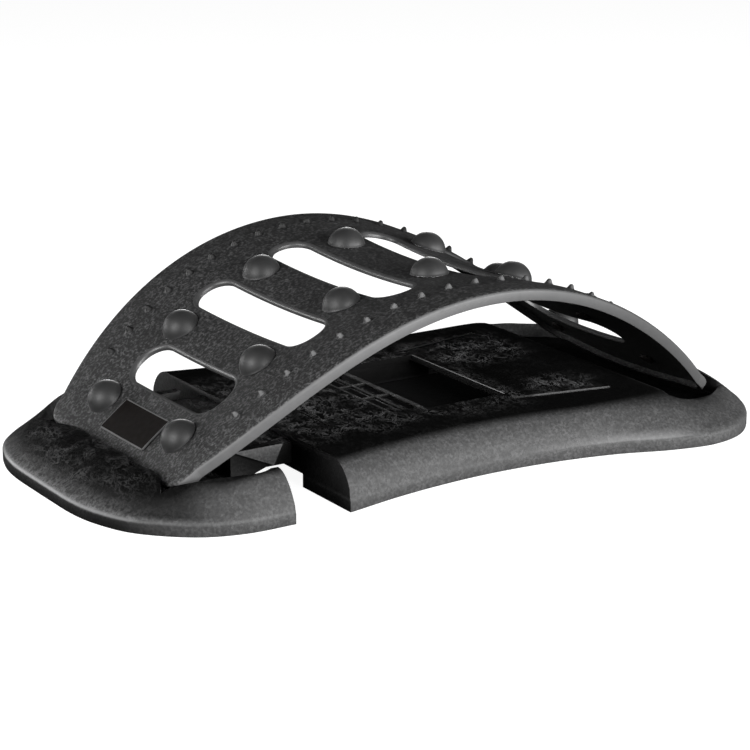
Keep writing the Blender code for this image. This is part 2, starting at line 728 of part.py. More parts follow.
def make_base_end(parent, look):
    """The sliding end piece: shell, foot pocket and tongue."""
    bm = bmesh.new()
    ring_solid(bm, rail_rings(END_OUTLINE, end_round, end_fullness, END_CUT_X))
    made = add_object("base_end", bm, parent, look)
    keep = [
        lambda blocks: pocket_keep(blocks, -1),
        lambda blocks: pad_posts(blocks, END_PADS),
    ]
    boolean(made, hollow("end_hollow", END_OUTLINE, end_round, end_fullness, END_CUT_X, keep, parent))
    boolean(made, pocket_cutter("end_pocket", END_POCKET_SIDE, END_POCKET_FAR_SIDE, -1, parent))
    mouths = bmesh.new()
    for side in (-1, 1):
        ys = sorted((side * (TONGUE_HALF + RUN), side * POCKET_MOUTH_HALF))
        box(mouths, (-POCKET_INNER_X - WALL, ys[0], POCKET_FLOOR), (END_CUT_X + WALL, ys[1], DECK_TOP + 5 * MM))
    boolean(made, add_object("pocket_mouths", mouths, parent, cutter=True))
    block = bmesh.new()
    tongue(block)
    boolean(made, add_object("tongue_block", block, parent, cutter=True), "UNION")
    boolean(made, gussets("gusset_backs", GUSSET_INNER, GUSSET_SETBACK, True, parent), "UNION")
    boolean(made, gussets("gusset_faces", GUSSET_SETBACK - TOUCH, GUSSET_OUTER, False, parent), "UNION")
    cuts = bmesh.new()
    low = (END_CUT_X + WALL, -TONGUE_HALF + TONGUE_SKIN, TONGUE_BOTTOM - 1 * MM)
    box(cuts, low, (TONGUE_TIP_X - TONGUE_SKIN, TONGUE_HALF - TONGUE_SKIN, TONGUE_TOP - TONGUE_SKIN))
    boolean(made, add_object("tongue_hollow", cuts, parent, cutter=True))
    cuts = bmesh.new()
    neck_low = (FINGER_ROOT_X - TOUCH, -FINGER_HALF - RUN, TONGUE_TOP - TONGUE_SKIN - 1 * MM)
    box(cuts, neck_low, (FINGER_TIP_X - FINGER_HEAD_LENGTH, FINGER_HALF + RUN, TONGUE_TOP + 1 * MM))
    boolean(made, add_object("finger_gap", cuts, parent, cutter=True))
    cuts = bmesh.new()
    head_low = (FINGER_TIP_X - FINGER_HEAD_LENGTH - RUN, -FINGER_HEAD_HALF - RUN, TONGUE_TOP - TONGUE_SKIN - 1 * MM)
    box(cuts, head_low, (FINGER_TIP_X + RUN, FINGER_HEAD_HALF + RUN, TONGUE_TOP + 1 * MM))
    boolean(made, add_object("head_gap", cuts, parent, cutter=True))
    boolean(made, pad_seats("end_pad_seats", END_PADS, parent))
    return made


def make_catch_finger(parent, look):
    """The springy finger whose three teeth click into the latch windows."""
    bm = bmesh.new()
    low = FINGER_TOP - FINGER_THICK
    head_x = FINGER_TIP_X - FINGER_HEAD_LENGTH
    plan = [
        (FINGER_ROOT_X, -FINGER_HALF),
        (head_x, -FINGER_HALF),
        (head_x, -FINGER_HEAD_HALF),
        (FINGER_TIP_X, -FINGER_HEAD_HALF),
        (FINGER_TIP_X, FINGER_HEAD_HALF),
        (head_x, FINGER_HEAD_HALF),
        (head_x, FINGER_HALF),
        (FINGER_ROOT_X, FINGER_HALF),
    ]
    prism(bm, plan, low, FINGER_TOP)
    made = add_object("catch_finger", bm, parent, look)
    teeth = bmesh.new()
    left = WINDOW_LEFT_X + RUN
    side_y = WINDOW_ROW_Y + WINDOW_BAR / 2 + RUN
    for near, far in (
        (-side_y - TOOTH_WIDTH, -side_y),
        (-WINDOW_ROW_Y + WINDOW_BAR / 2 + RUN, WINDOW_ROW_Y - WINDOW_BAR / 2 - RUN),
        (side_y, side_y + TOOTH_WIDTH),
    ):
        box(teeth, (left, near, low + 1 * MM), (left + TOOTH_LENGTH, far, TOOTH_TOP))
    boolean(made, add_object("teeth", teeth, parent, cutter=True), "UNION")
    return made


def make_pads(pads, names, parent, look):
    """Round rubber pads, one object each."""
    spots = [(x, side * y) for x, y in pads for side in (-1, 1)]
    for name, (x, y) in zip(names, spots):
        bm = bmesh.new()
        rim = PAD_RADIUS - 0.8 * MM
        lathe(bm, [(0, 0), (rim, 0), (PAD_RADIUS, 0.8 * MM), (PAD_RADIUS, PAD_THICK), (0, PAD_THICK)], 16)
        bmesh.ops.translate(bm, verts=bm.verts, vec=(x, y, 0))
        made = add_object(name, bm, parent, look)
        made.data.shade_smooth()
        made.data.set_sharp_from_angle(angle=math.radians(40))


def arch_point(s):
    """Where the arch's curve is at a length s from its top, and its slope there."""
    side = math.copysign(1.0, s)
    bow = FIXED_BOW if side > 0 else END_BOW
    extra = ARCH_FIXED_EXTRA if side > 0 else 0.0
    x, drop = strip_run(abs(s), bow, extra)
    return side * x, ARCH_TOP - drop, side * strip_slope(abs(s) / ARCH_HALF_LENGTH, bow, extra)


def arch_half_width(s):
    u = s / TAPER_UNIT
    return ARCH_HALF_WIDTH * (1 - ARCH_TAPER_2 * u**2 - ARCH_TAPER_4 * u**4)


def dish_depth(s):
    return mix(ARCH_DISH, ARCH_FOOT_DISH, smoothstep(abs(s), ARCH_HALF_LENGTH - 67 * MM, ARCH_HALF_LENGTH))


def dish(s, y):
    """Height of the plate's dished shape over its flat one."""
    return -dish_depth(s) * max(0.0, 1 - (y / (ARCH_DISH_SHARE * arch_half_width(s))) ** 2)


def bend(bm):
    """Bends a flat plate, drawn in length, width and height, over the arch's curve."""
    known = {}
    for v in bm.verts:
        s = v.co.x
        key = round(s / MM, 4)
        if key not in known:
            known[key] = arch_point(s)
        x, z, slope = known[key]
        up = v.co.z + dish(s, v.co.y)
        v.co = Vector((x + up * math.sin(slope), v.co.y, z + up * math.cos(slope)))


def arch_outline():
    """The arch's outline laid flat, from above."""
    straight = ARCH_HALF_LENGTH - FOOT_CORNER
    count = ARCH_BENDS // 2
    near = []
    for k in range(-count, count + 1):
        s = straight * k / count
        near.append((s, -arch_half_width(s)))
    corner = []
    width = arch_half_width(straight)
    for k in range(1, 5):
        angle = math.pi / 2 * k / 4
        corner.append((straight + FOOT_CORNER * math.sin(angle), -(width - FOOT_CORNER * (1 - math.cos(angle)))))
    right = near + corner
    left = [(-s, y) for s, y in reversed(corner)]
    lower = left + right
    return lower + [(s, -y) for s, y in reversed(lower)]


def slot_outline(middle, width, half):
    """A cross slot with round ends, as points that run round it."""
    out = []
    across = SLOT_END_FLAT
    corner = width / 2 - SLOT_END_FLAT
    along = half - corner
    for sx, sy, start in ((1, 1, 0), (-1, 1, 90), (-1, -1, 180), (1, -1, 270)):
        for k in range(5):
            angle = math.radians(start + 90 * k / 4)
            s = middle + sx * across + corner * math.cos(angle)
            y = sy * along + corner * math.sin(angle)
            out.append((s, y))
        if start in (0, 180):
            out.append((middle, sy * half))
    return out


def circle(centre, radius, sides):
    return [
        (
            centre[0] + radius * math.cos(2 * math.pi * k / sides),
            centre[1] + radius * math.sin(2 * math.pi * k / sides),
        )
        for k in range(sides)
    ]


def dome_places():
    half = DOME_ROWS // 2
    return [(row * DOME_PITCH, side * DOME_Y) for row in range(-half, half + 1) for side in (-1, 1)]


def bump_places():
    half = BUMP_COUNT // 2
    out = []
    for k in range(-half, half + 1):
        s = k * BUMP_PITCH
        y = BUMP_Y * (1 - BUMP_TAPER * (s / TAPER_UNIT) ** 2)
        out += [(s, -y), (s, y)]
    return out


def offset_loop(loop, distance):
    """A closed loop moved to its left by a distance."""
    out = []
    count = len(loop)
    for i in range(count):
        before = Vector(loop[i - 1])
        after = Vector(loop[(i + 1) % count])
        along = after - before
        normal = Vector((-along.y, along.x)).normalized()
        out.append((loop[i][0] + normal.x * distance, loop[i][1] + normal.y * distance))
    return out


def wall_rings(bm, loop, levels):
    """Rings of a wall along a closed loop, at (offset, height) levels. Returns its first and last ring."""
    rings = []
    for shift, height in levels:
        rings.append([bm.verts.new((x, y, height)) for x, y in offset_loop(loop, shift)])
    for lower, upper in zip(rings, rings[1:]):
        count = len(lower)
        for i in range(count):
            j = (i + 1) % count
            bm.faces.new((lower[i], lower[j], upper[j], upper[i]))
    return rings[0], rings[-1]


def ring_edges(bm, ring):
    out = []
    for i, v in enumerate(ring):
        other = ring[(i + 1) % len(ring)]
        out.append(bm.edges.get((v, other)) or bm.edges.new((v, other)))
    return out


def flat_arch():
    """The arch plate laid flat, with its slots, stem holes and bumps."""
    bm = bmesh.new()
    top_edges = []
    bottom_edges = []
    under = ARCH_CROWN - ARCH_THICK
    rim_levels = [(ARCH_EDGE_WIDTH, ARCH_CROWN), (0.0, -ARCH_EDGE_DROP), (0.0, -ARCH_RIM_HEIGHT)]
    rim_levels += [(ARCH_RIM_WIDTH, -ARCH_RIM_HEIGHT), (ARCH_RIM_WIDTH, under)]
    slot_levels = [(SLOT_EDGE, ARCH_CROWN), (0.0, ARCH_CROWN - SLOT_EDGE), (0.0, under)]
    hole_levels = [(0.0, ARCH_CROWN), (0.0, under)]
    loops = [(arch_outline(), rim_levels)]
    for middle, width, half in SLOTS:
        for side in (-1, 1):
            loops.append((slot_outline(side * middle, width, half)[::-1], slot_levels))
    for place in dome_places():
        loops.append((circle(place, STEM_RADIUS + 2 * TOUCH, 8)[::-1], hole_levels))
    for loop, levels in loops:
        top, bottom = wall_rings(bm, loop, levels)
        top_edges += ring_edges(bm, top)
        bottom_edges += ring_edges(bm, bottom)
    for place in bump_places():
        low = ARCH_CROWN
        high = ARCH_CROWN + BUMP_HEIGHT
        base = [bm.verts.new((x, y, low)) for x, y in circle(place, BUMP_RADIUS, BUMP_SIDES)]
        tip = [bm.verts.new((x, y, high)) for x, y in circle(place, BUMP_RADIUS * BUMP_TIP, BUMP_SIDES)]
        for i in range(BUMP_SIDES):
            j = (i + 1) % BUMP_SIDES
            bm.faces.new((base[i], base[j], tip[j], tip[i]))
        bm.faces.new(tip)
        top_edges += ring_edges(bm, base)
    bmesh.ops.triangle_fill(bm, use_beauty=True, edges=top_edges)
    bmesh.ops.triangle_fill(bm, use_beauty=True, edges=bottom_edges)
    return bm


def slice_up(bm, places, axis):
    """Cuts a mesh's faces along planes, so that it can bend there."""
    normal = Vector((1, 0, 0)) if axis == 0 else Vector((0, 1, 0))
    for place in places:
        geom = bm.verts[:] + bm.edges[:] + bm.faces[:]
        bmesh.ops.bisect_plane(bm, geom=geom, dist=0.02 * MM, plane_co=normal * place, plane_no=normal)


def make_arch_plate(parent, look):
    bm = flat_arch()
    slice_up(bm, [ARCH_HALF_LENGTH * (2 * k / ARCH_BENDS - 1) for k in range(1, ARCH_BENDS)], 0)
    slice_up(bm, [-ARCH_CREASE_Y, 0.0, ARCH_CREASE_Y], 1)
    bmesh.ops.triangulate(bm, faces=bm.faces)
    bend(bm)
    made = add_object("arch_plate", bm, parent, look)
    return made


def surface_matrix(s, y, up):
    """A frame on the arch's top surface, with +Z along its normal."""
    x, z, slope = arch_point(s)
    lift = up + dish(s, y)
    place = Vector((x + lift * math.sin(slope), y, z + lift * math.cos(slope)))
    cross = 2 * dish_depth(s) * y / (ARCH_DISH_SHARE * arch_half_width(s)) ** 2
    normal = Vector((math.sin(slope), -cross, math.cos(slope))).normalized()
    side = Vector((0, 1, 0))
    along = side.cross(normal).normalized()
    side = normal.cross(along)
    turn = Matrix((along, side, normal)).transposed()
    return Matrix.Translation(place) @ turn.to_4x4()


def dome_profile():
    """A pebble on a stem, with a flange under the plate."""
    seat = DOME_GAP
    under = -ARCH_THICK - seat
    profile = [
        (0, under - STEM_FLANGE_THICK),
        (STEM_FLANGE_RADIUS * 0.8, under - STEM_FLANGE_THICK),
        (STEM_FLANGE_RADIUS, under),
        (STEM_RADIUS, under),
        (STEM_RADIUS, seat),
        (DOME_RADIUS * 0.86, seat),
    ]
    rim = DOME_HEIGHT * 0.22
    for k in range(4):
        angle = math.pi / 2 * k / 4
        profile.append((DOME_RADIUS * math.cos(angle), seat + rim + (DOME_HEIGHT - rim) * math.sin(angle)))
    profile.append((0, seat + DOME_HEIGHT))
    return profile


def make_domes(parent, look):
    """The fourteen massage domes, numbered from the end piece."""
    for number, (s, y) in enumerate(dome_places(), 1):
        bm = bmesh.new()
        lathe(bm, dome_profile(), DOME_SIDES)
        bm.transform(surface_matrix(s, y, ARCH_CROWN))
        made = add_object(f"massage_dome_{number:02d}", bm, parent, look)
        made.data.shade_smooth()
        made.data.set_sharp_from_angle(angle=math.radians(50))


def make_badge(parent, look):
    """The thin plate between the first pair of domes. It is bare."""
    bm = bmesh.new()
    base = ARCH_CROWN + BADGE_GAP
    low = (BADGE_S - BADGE_LENGTH / 2, -BADGE_HALF_Y, base)
    box(bm, low, (BADGE_S + BADGE_LENGTH / 2, BADGE_HALF_Y, base + BADGE_THICK))
    slice_up(bm, [BADGE_S], 0)
    slice_up(bm, [-BADGE_HALF_Y / 2, 0.0, BADGE_HALF_Y / 2], 1)
    bmesh.ops.triangulate(bm, faces=bm.faces)
    bend(bm)
    return add_object("badge_plate", bm, parent, look)


def build():
    for old in list(bpy.data.objects):
        bpy.data.objects.remove(old, do_unlink=True)
    plate_black = material("arch_plastic", (0.035, 0.035, 0.037), 0.45)
    base_black = material("base_plastic", (0.05, 0.05, 0.052), 0.4)
    dome_black = material("dome_plastic", (0.045, 0.045, 0.047), 0.3)
    badge_grey = material("badge_plastic", (0.03, 0.028, 0.025), 0.35)
    rubber = material("pad_rubber", (0.02, 0.02, 0.02), 0.9)
    steel = material("screw_steel", (0.35, 0.35, 0.36), 0.35)
    root = empty("board", (0, 0, 0))
    slide = empty("end_slide", (END_CUT_X + SHIFT_X, 0, (TONGUE_BOTTOM + TONGUE_TOP) / 2), root)
    hinge = empty("catch_hinge", (FINGER_ROOT_X + SHIFT_X, 0, FINGER_TOP - FINGER_THICK / 2), slide)
    lift = empty("arch_lift", (SHIFT_X, 0, ARCH_TOP), root)
    make_base_main(root, base_black)
    make_guide_cover(root, base_black)
    make_cover_screws(root, steel)
    make_pads(MAIN_PADS, [f"foot_pad_{n}" for n in (1, 2, 3, 4)], root, rubber)
    make_base_end(slide, base_black)
    make_pads(END_PADS, [f"foot_pad_{n}" for n in (5, 6)], slide, rubber)
    make_catch_finger(hinge, base_black)
    make_arch_plate(lift, plate_black)
    make_domes(lift, dome_black)
    make_badge(lift, badge_grey)


build()
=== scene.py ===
"""Looks of the back stretcher board: finer shells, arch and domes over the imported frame, with their materials

Lengths are metres. Sizes repeat the part's and are in its own axes, with the arch's top at x = 0.
Each finished mesh is moved by SHIFT_X into the frame's axes, so each piece lies where its solid does.
"""

import json
import math

import bmesh
import bpy
from mathutils import Euler, Matrix, Vector

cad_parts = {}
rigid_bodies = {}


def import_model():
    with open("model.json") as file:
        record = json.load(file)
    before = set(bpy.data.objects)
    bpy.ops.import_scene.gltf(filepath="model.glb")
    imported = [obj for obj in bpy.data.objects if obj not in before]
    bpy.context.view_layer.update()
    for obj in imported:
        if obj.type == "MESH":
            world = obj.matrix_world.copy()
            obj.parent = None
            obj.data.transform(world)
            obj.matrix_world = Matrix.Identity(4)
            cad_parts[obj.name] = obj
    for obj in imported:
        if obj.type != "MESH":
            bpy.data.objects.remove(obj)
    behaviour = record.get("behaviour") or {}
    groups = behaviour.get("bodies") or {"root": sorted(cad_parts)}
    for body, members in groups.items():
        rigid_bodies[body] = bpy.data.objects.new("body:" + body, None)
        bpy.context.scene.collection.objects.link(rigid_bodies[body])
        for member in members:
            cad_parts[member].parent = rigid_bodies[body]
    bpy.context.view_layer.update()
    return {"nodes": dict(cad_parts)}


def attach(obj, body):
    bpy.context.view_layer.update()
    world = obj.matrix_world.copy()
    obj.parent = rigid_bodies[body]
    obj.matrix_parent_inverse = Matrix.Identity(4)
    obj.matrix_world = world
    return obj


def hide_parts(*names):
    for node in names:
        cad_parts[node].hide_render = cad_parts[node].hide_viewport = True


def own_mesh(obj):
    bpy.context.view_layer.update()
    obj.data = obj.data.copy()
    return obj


MM = 0.001
TINY = 0.01 * MM

# How far cutters reach past a face
PAST = 1 * MM
FAR_PAST = 5 * MM

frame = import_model()
nodes = frame["nodes"]
scene = bpy.context.scene

# Base
PAD_PROUD = 0.4 * MM
SKIRT_TOP = 7 * MM
DECK_TOP = 24.3 * MM
MAIN_RIM_DROP = 3.3 * MM
END_RIM_DROP = 2.3 * MM
WALL = 3 * MM
RUN = 0.5 * MM
TOUCH = 0.3 * MM
MAIN_CUT_X = -85.8 * MM
MAIN_END_X = 191 * MM
MAIN_OUTLINE = [
    (MAIN_CUT_X, 102.4 * MM),
    (-50 * MM, 94.8 * MM),
    (14 * MM, 90 * MM),
    (76 * MM, 98.6 * MM),
    (110 * MM, 109.8 * MM),
    (130 * MM, 112.8 * MM),
    (151 * MM, 107.6 * MM),
    (168 * MM, 94 * MM),
    (181 * MM, 74 * MM),
    (188.5 * MM, 48 * MM),
    (MAIN_END_X, 0.0),
]
END_CUT_X = -116.2 * MM
END_END_X = -199.7 * MM
END_OUTLINE = [
    (END_CUT_X, 102.8 * MM),
    (-142 * MM, 102 * MM),
    (-160 * MM, 96.5 * MM),
    (-176 * MM, 85 * MM),
    (-188.5 * MM, 70.5 * MM),
    (-196 * MM, 52 * MM),
    (END_END_X, 0.0),
]
OUTLINE_STEP = 3.5 * MM
CUT_BLEND = 11 * MM
SHIFT_X = -(MAIN_END_X + END_END_X) / 2

# Rails: where the deck falls, the rounding's widths and fullness, and where along the shell they change
MAIN_FALL = (114 * MM, 134 * MM)
END_FALL = (146 * MM, 166 * MM)
SIDE_ROUND = 16.6 * MM
MAIN_CORNER_ROUND = 34 * MM
MAIN_TIP_ROUND = 25.5 * MM
MAIN_WIDENS = (60 * MM, 118 * MM)
MAIN_NARROWS = (158 * MM, 186 * MM)
MAIN_FULLNESS = (0.6, 1.25)
MAIN_FILLS = (55 * MM, 125 * MM)
END_TIP_ROUND = 33 * MM
END_WIDENS = (128 * MM, 188 * MM)
END_FULLNESS = (0.9, 1.25)
END_FILLS = (120 * MM, 170 * MM)
RAIL_STEPS = 14
RAIL_POWER = 1.8
CREASE = 1.6 * MM
CREASE_WIDTH = CREASE / 5
CREASE_RISE = 0.35

# Rings of a shell that lie below its rounding
BOTTOM = -3
UNDER_CREASE = -2
IN_CREASE = -1

# Heights that cutters reach, and those that what is kept solid in a hollow reaches
CUT_BOTTOM = -PAST
CUT_TOP = DECK_TOP + FAR_PAST
KEEP_BOTTOM = -3 * MM
KEEP_TOP = DECK_TOP + 10 * MM

# Foot pockets
POCKET_INNER_X = 120 * MM
POCKET_FLOOR = 9.7 * MM
LOBE_CREST_X = 165.5 * MM
LOBE_DEPTH = 5.5 * MM
LOBE_EDGES = (42 * MM, 2 * MM, -38 * MM, -70 * MM)
LOBE_STEPS = 12
LOBE_POWER = 0.8
POCKET_FAR_Y = 69 * MM
POCKET_STEP = 2.5 * MM
# The pockets' sides, in millimetres
MAIN_POCKET_SIDE = ((120, 86), (124.5, 89), (137, 90), (147, 87), (156, 81.5), (164, 75))
END_POCKET_SIDE = ((120, 86), (124.5, 88), (137, 87), (147, 83), (156, 76.5), (164, 70.5))
END_POCKET_FAR_SIDE = ((120, 86), (124.5, 89.5), (138, 89.5), (148, 87), (157, 82), (165, 75))
POCKET_MOUTH_HALF = 86 * MM
POCKET_KEEP_HALF = 110 * MM

# Tongue and sleeve
TONGUE_HALF = 46.8 * MM
TONGUE_BOTTOM = 10.3 * MM
TONGUE_TOP = 20.6 * MM
TONGUE_SKIN = 3 * MM
TONGUE_TIP_X = -10 * MM
RIB_WIDTH = 10 * MM
SLEEVE_END_X = 68 * MM
NOTCH_PITCH = 8.7 * MM
STOP_THICK = 3 * MM
COVER_TOP = TONGUE_BOTTOM - RUN
COVER_BOTTOM = COVER_TOP - 2.5 * MM
RIB_BOTTOM = COVER_TOP + TOUCH
SLEEVE_HALF = TONGUE_HALF + RUN
RIB_OUTER = SLEEVE_HALF + RIB_WIDTH
DECK_UNDER = DECK_TOP - WALL

# Gussets beside the tongue's root
GUSSET_TIP_X = -96 * MM
GUSSET_HEEL_X = -101 * MM
GUSSET_HEEL_Z = 14 * MM
GUSSET_ROOT_X = -124 * MM
GUSSET_INNER = 50 * MM
GUSSET_SETBACK = 53.5 * MM
GUSSET_OUTER = 56 * MM

# Windows, recess and grooves of the deck
WINDOW_LEFT_X = -22.6 * MM
WINDOW_HALF_Y = 40 * MM
WINDOW_ROW_Y = 11.6 * MM
WINDOW_BAR = 1.4 * MM
WINDOW_SKIN = 1.2 * MM
RECESS_LENGTH = 48 * MM
RECESS_HALF_Y = 44 * MM
RECESS_LEFT_X = WINDOW_LEFT_X + 2 * NOTCH_PITCH + WINDOW_BAR
RECESS_END_X = RECESS_LEFT_X + RECESS_LENGTH
GROOVE_FROM = (44.4 * MM, 53 * MM)
GROOVE_TO = (99.7 * MM, 64 * MM)
GROOVE_WIDTH = 3.2 * MM
GROOVE_DEPTH = 2 * MM
SEAM_X = -62 * MM
SEAM_WIDTH = 1.2 * MM
SEAM_DEPTH = 0.8 * MM
STOP_X = TONGUE_TIP_X + NOTCH_PITCH + RUN
FINGER_ROOT_X = -52 * MM
FINGER_HALF = 14 * MM
FINGER_HEAD_LENGTH = 13 * MM
FINGER_HEAD_HALF = 38 * MM
FINGER_TIP_X = WINDOW_LEFT_X + NOTCH_PITCH - WINDOW_BAR + RUN
SCREW_XS = (-74 * MM, -8 * MM, 58 * MM)
SCREW_HOLE = 1.7 * MM
SCREW_LENGTH = 9 * MM
SCREW_SIDES = 20
PAD_RADIUS = 7 * MM
PAD_THICK = 2.4 * MM
MAIN_PADS = ((-68 * MM, 80 * MM), (140 * MM, 84 * MM))
END_PADS = ((-150 * MM, 78 * MM),)

# Small rounds on the base's edges, and the degrees over which an edge is rounded or shaded sharp
EDGE_ROUND = 0.45 * MM
ROUND_OVER = 38.0
SHARP_OVER = 35.0

# Arch
ARCH_TOP = 96.8 * MM
ARCH_HALF_LENGTH = 187 * MM
ARCH_THICK = 3 * MM
ARCH_RIM_HEIGHT = 5.1 * MM
ARCH_RIM_WIDTH = 3 * MM
ARCH_HALF_WIDTH = 102.5 * MM
ARCH_CROWN = 1 * MM
ARCH_STEPS = 64
FREE_SLOPE = 0.7205
FIXED_SLOPES = (0.6831, 0.0365)
DISH_MIDDLE = 5.5 * MM
DISH_FOOT = 2.4 * MM
DISH_FROM = 120 * MM
DISH_SHARE = 0.82
OUTLINE_PARTS = 44
FOOT_CORNER = 14 * MM
CORNER_STEPS = 8
TAPER_UNIT = 100 * MM
TAPER_SQUARE = 0.04616
TAPER_FOURTH = 0.01674
BEND_PARTS = 40
STRIP = 6 * MM
STRIPS = 16
RIM_ROUND = (2.4 * MM, 1.8 * MM)
# The rim's outer foot, as offsets inwards and heights
RIM_FOOT = ((0.0, 0.6 * MM), (0.2 * MM, 0.2 * MM), (0.6 * MM, 0.0))
RIM_INNER = 0.5 * MM
SLOT_ROUND = (2 * MM, 1.6 * MM)
SLOT_FOOT = 0.4 * MM
ROUND_STEPS = 6
SLOT_FLAT = 0.5 * MM
SLOT_STEPS = 12
# The middle, width and half length of each pair of slots
SLOTS = (
    (29 * MM, 22.5 * MM, 59 * MM),
    (81 * MM, 22.5 * MM, 55 * MM),
    (134 * MM, 25 * MM, 43.3 * MM),
)
DOME_ROWS = 3
DOME_PITCH = 54.2 * MM
DOME_Y = 40 * MM
DOME_RADIUS = 10 * MM
DOME_HEIGHT = 8 * MM
DOME_GAP = 0.7 * MM
DOME_SEAT = DOME_GAP - 0.5 * MM
DOME_SIDES = 48
# The rim as shares of the radius and heights over the seat, and the cap that starts on it
DOME_RIM = ((0.96, 0.0), (0.992, 0.1 * MM), (1.0, 0.3 * MM), (0.995, 0.5 * MM))
CAP_SHARE = 0.98
CAP_LIFT = 0.65 * MM
CAP_STEPS = 16
STEM_RADIUS = 2.6 * MM
STEM_HOLE_SIDES = 16
SNAP_RADII = (3.3 * MM, 4.2 * MM)
SNAP_HEIGHT = 1.2 * MM
BUMP_ROWS = 9
BUMP_PITCH = 15.53 * MM
BUMP_Y = 80.6 * MM
BUMP_TAPER = 0.0912
BUMP_RADIUS = 2.2 * MM
BUMP_HEIGHT = 3 * MM
BUMP_SIDES = 14
BUMP_PROFILE = ((1.2, 0.0), (0.96, 0.1), (0.8, 0.3), (0.56, 0.66), (0.4, 0.83), (0.2, 0.92))
BADGE_S = -167.5 * MM
BADGE_LENGTH = 20 * MM
BADGE_HALF_Y = 23 * MM
BADGE_THICK = 0.8 * MM
BADGE_GAP = 0.6 * MM
BADGE_BORDER = 0.75 * MM
BADGE_CORNER = 0.8 * MM
BADGE_ROUND = 0.3 * MM
BADGE_CUT = 4 * MM
BADGE_STRIPS = 6


def smoothstep(value, low, high):
    t = min(max((value - low) / (high - low), 0.0), 1.0)
    return t * t * (3 - 2 * t)


def mix(a, b, t):
    return a + (b - a) * t


# Mesh helpers


def add(name, data):
    made = bpy.data.objects.new(name, data)
    scene.collection.objects.link(made)
    return made


def add_object(name, bm, cutter=False):
    """Turns a bmesh in board coordinates into an object in the frame's coordinates."""
    bmesh.ops.recalc_face_normals(bm, faces=bm.faces)
    bm.transform(Matrix.Translation((SHIFT_X, 0, 0)))
    mesh = bpy.data.meshes.new(name)
    bm.to_mesh(mesh)
    bm.free()
    made = add(name, mesh)
    if cutter:
        made.display_type = "WIRE"
    return made


def boolean(piece, tool, operation="DIFFERENCE"):
    step = piece.modifiers.new(tool.name, "BOOLEAN")
    step.operation = operation
    step.solver = "EXACT"
    step.object = tool


def settle(piece):
    """Replaces a piece's mesh by what its modifiers make of it."""
    graph = bpy.context.evaluated_depsgraph_get()
    mesh = bpy.data.meshes.new_from_object(piece.evaluated_get(graph))
    piece.modifiers.clear()
    piece.data = mesh


def box(bm, low, high):
    made = bmesh.ops.create_cube(bm, size=1.0)["verts"]
    middle = (Vector(low) + Vector(high)) / 2
    size = Vector(high) - Vector(low)
    for v in made:
        v.co = middle + v.co * size


def cylinder(bm, centre, radius, low, high, sides=32):
    place = Matrix.Translation((centre[0], centre[1], (low + high) / 2))
    bmesh.ops.create_cone(
        bm, cap_ends=True, segments=sides, radius1=radius, radius2=radius, depth=high - low, matrix=place
    )


def skin_loops(bm, loops):
    """Faces between closed loops of vertices."""
    for lower, upper in zip(loops, loops[1:]):
        for i in range(len(lower)):
            j = (i + 1) % len(lower)
            bm.faces.new((lower[i], lower[j], upper[j], upper[i]))


def prism(bm, points, low, high, axis=2):
    """A solid between two places along an axis, with its outline given in the other two axes."""
    ends = []
    for place in (low, high):
        ends.append([bm.verts.new((*p[:axis], place, *p[axis:])) for p in points])
    for end in ends:
        bm.faces.new(end)
    skin_loops(bm, ends)


def spline(points, step):
    """Points about a step apart on a smooth curve through the given points, by their distances."""
    pts = [Vector(p) for p in points]
    pts = [2 * pts[0] - pts[1], *pts, 2 * pts[-1] - pts[-2]]
    out = []
    for a, b, c, d in zip(pts, pts[1:], pts[2:], pts[3:]):
        before, here, after = (b - a).length, (c - b).length, (d - c).length
        leave = here * ((b - a) / before - (c - a) / (before + here) + (c - b) / here)
        reach = here * ((c - b) / here - (d - b) / (here + after) + (d - c) / after)
        count = max(1, round(here / step))
        for k in range(count):
            t = k / count
            out.append(
                (2 * t**3 - 3 * t**2 + 1) * b
                + (t**3 - 2 * t**2 + t) * leave
                + (3 * t**2 - 2 * t**3) * c
                + (t**3 - t**2) * reach
            )
    out.append(pts[-2])
    return out


# Base shells


def deck_height(x):
    if x > 0:
        return DECK_TOP - MAIN_RIM_DROP * smoothstep(x, *MAIN_FALL)
    return DECK_TOP - END_RIM_DROP * smoothstep(-x, *END_FALL)


def main_round(x):
    corner = mix(SIDE_ROUND, MAIN_CORNER_ROUND, smoothstep(x, *MAIN_WIDENS))
    return mix(corner, MAIN_TIP_ROUND, smoothstep(x, *MAIN_NARROWS))


def main_fullness(x):
    return mix(*MAIN_FULLNESS, smoothstep(x, *MAIN_FILLS))


def end_round(x):
    return mix(SIDE_ROUND, END_TIP_ROUND, smoothstep(-x, *END_WIDENS))


def end_fullness(x):
    return mix(*END_FULLNESS, smoothstep(-x, *END_FILLS))


def rail_steps(sink):
    """A shell's rings: those below the rounding, then shares of its width, closest near the steep skirt."""
    shares = [(k / RAIL_STEPS) ** RAIL_POWER for k in range(RAIL_STEPS + 1)]
    return [BOTTOM, *shares] if sink else [BOTTOM, UNDER_CREASE, IN_CREASE, *shares[3:]]


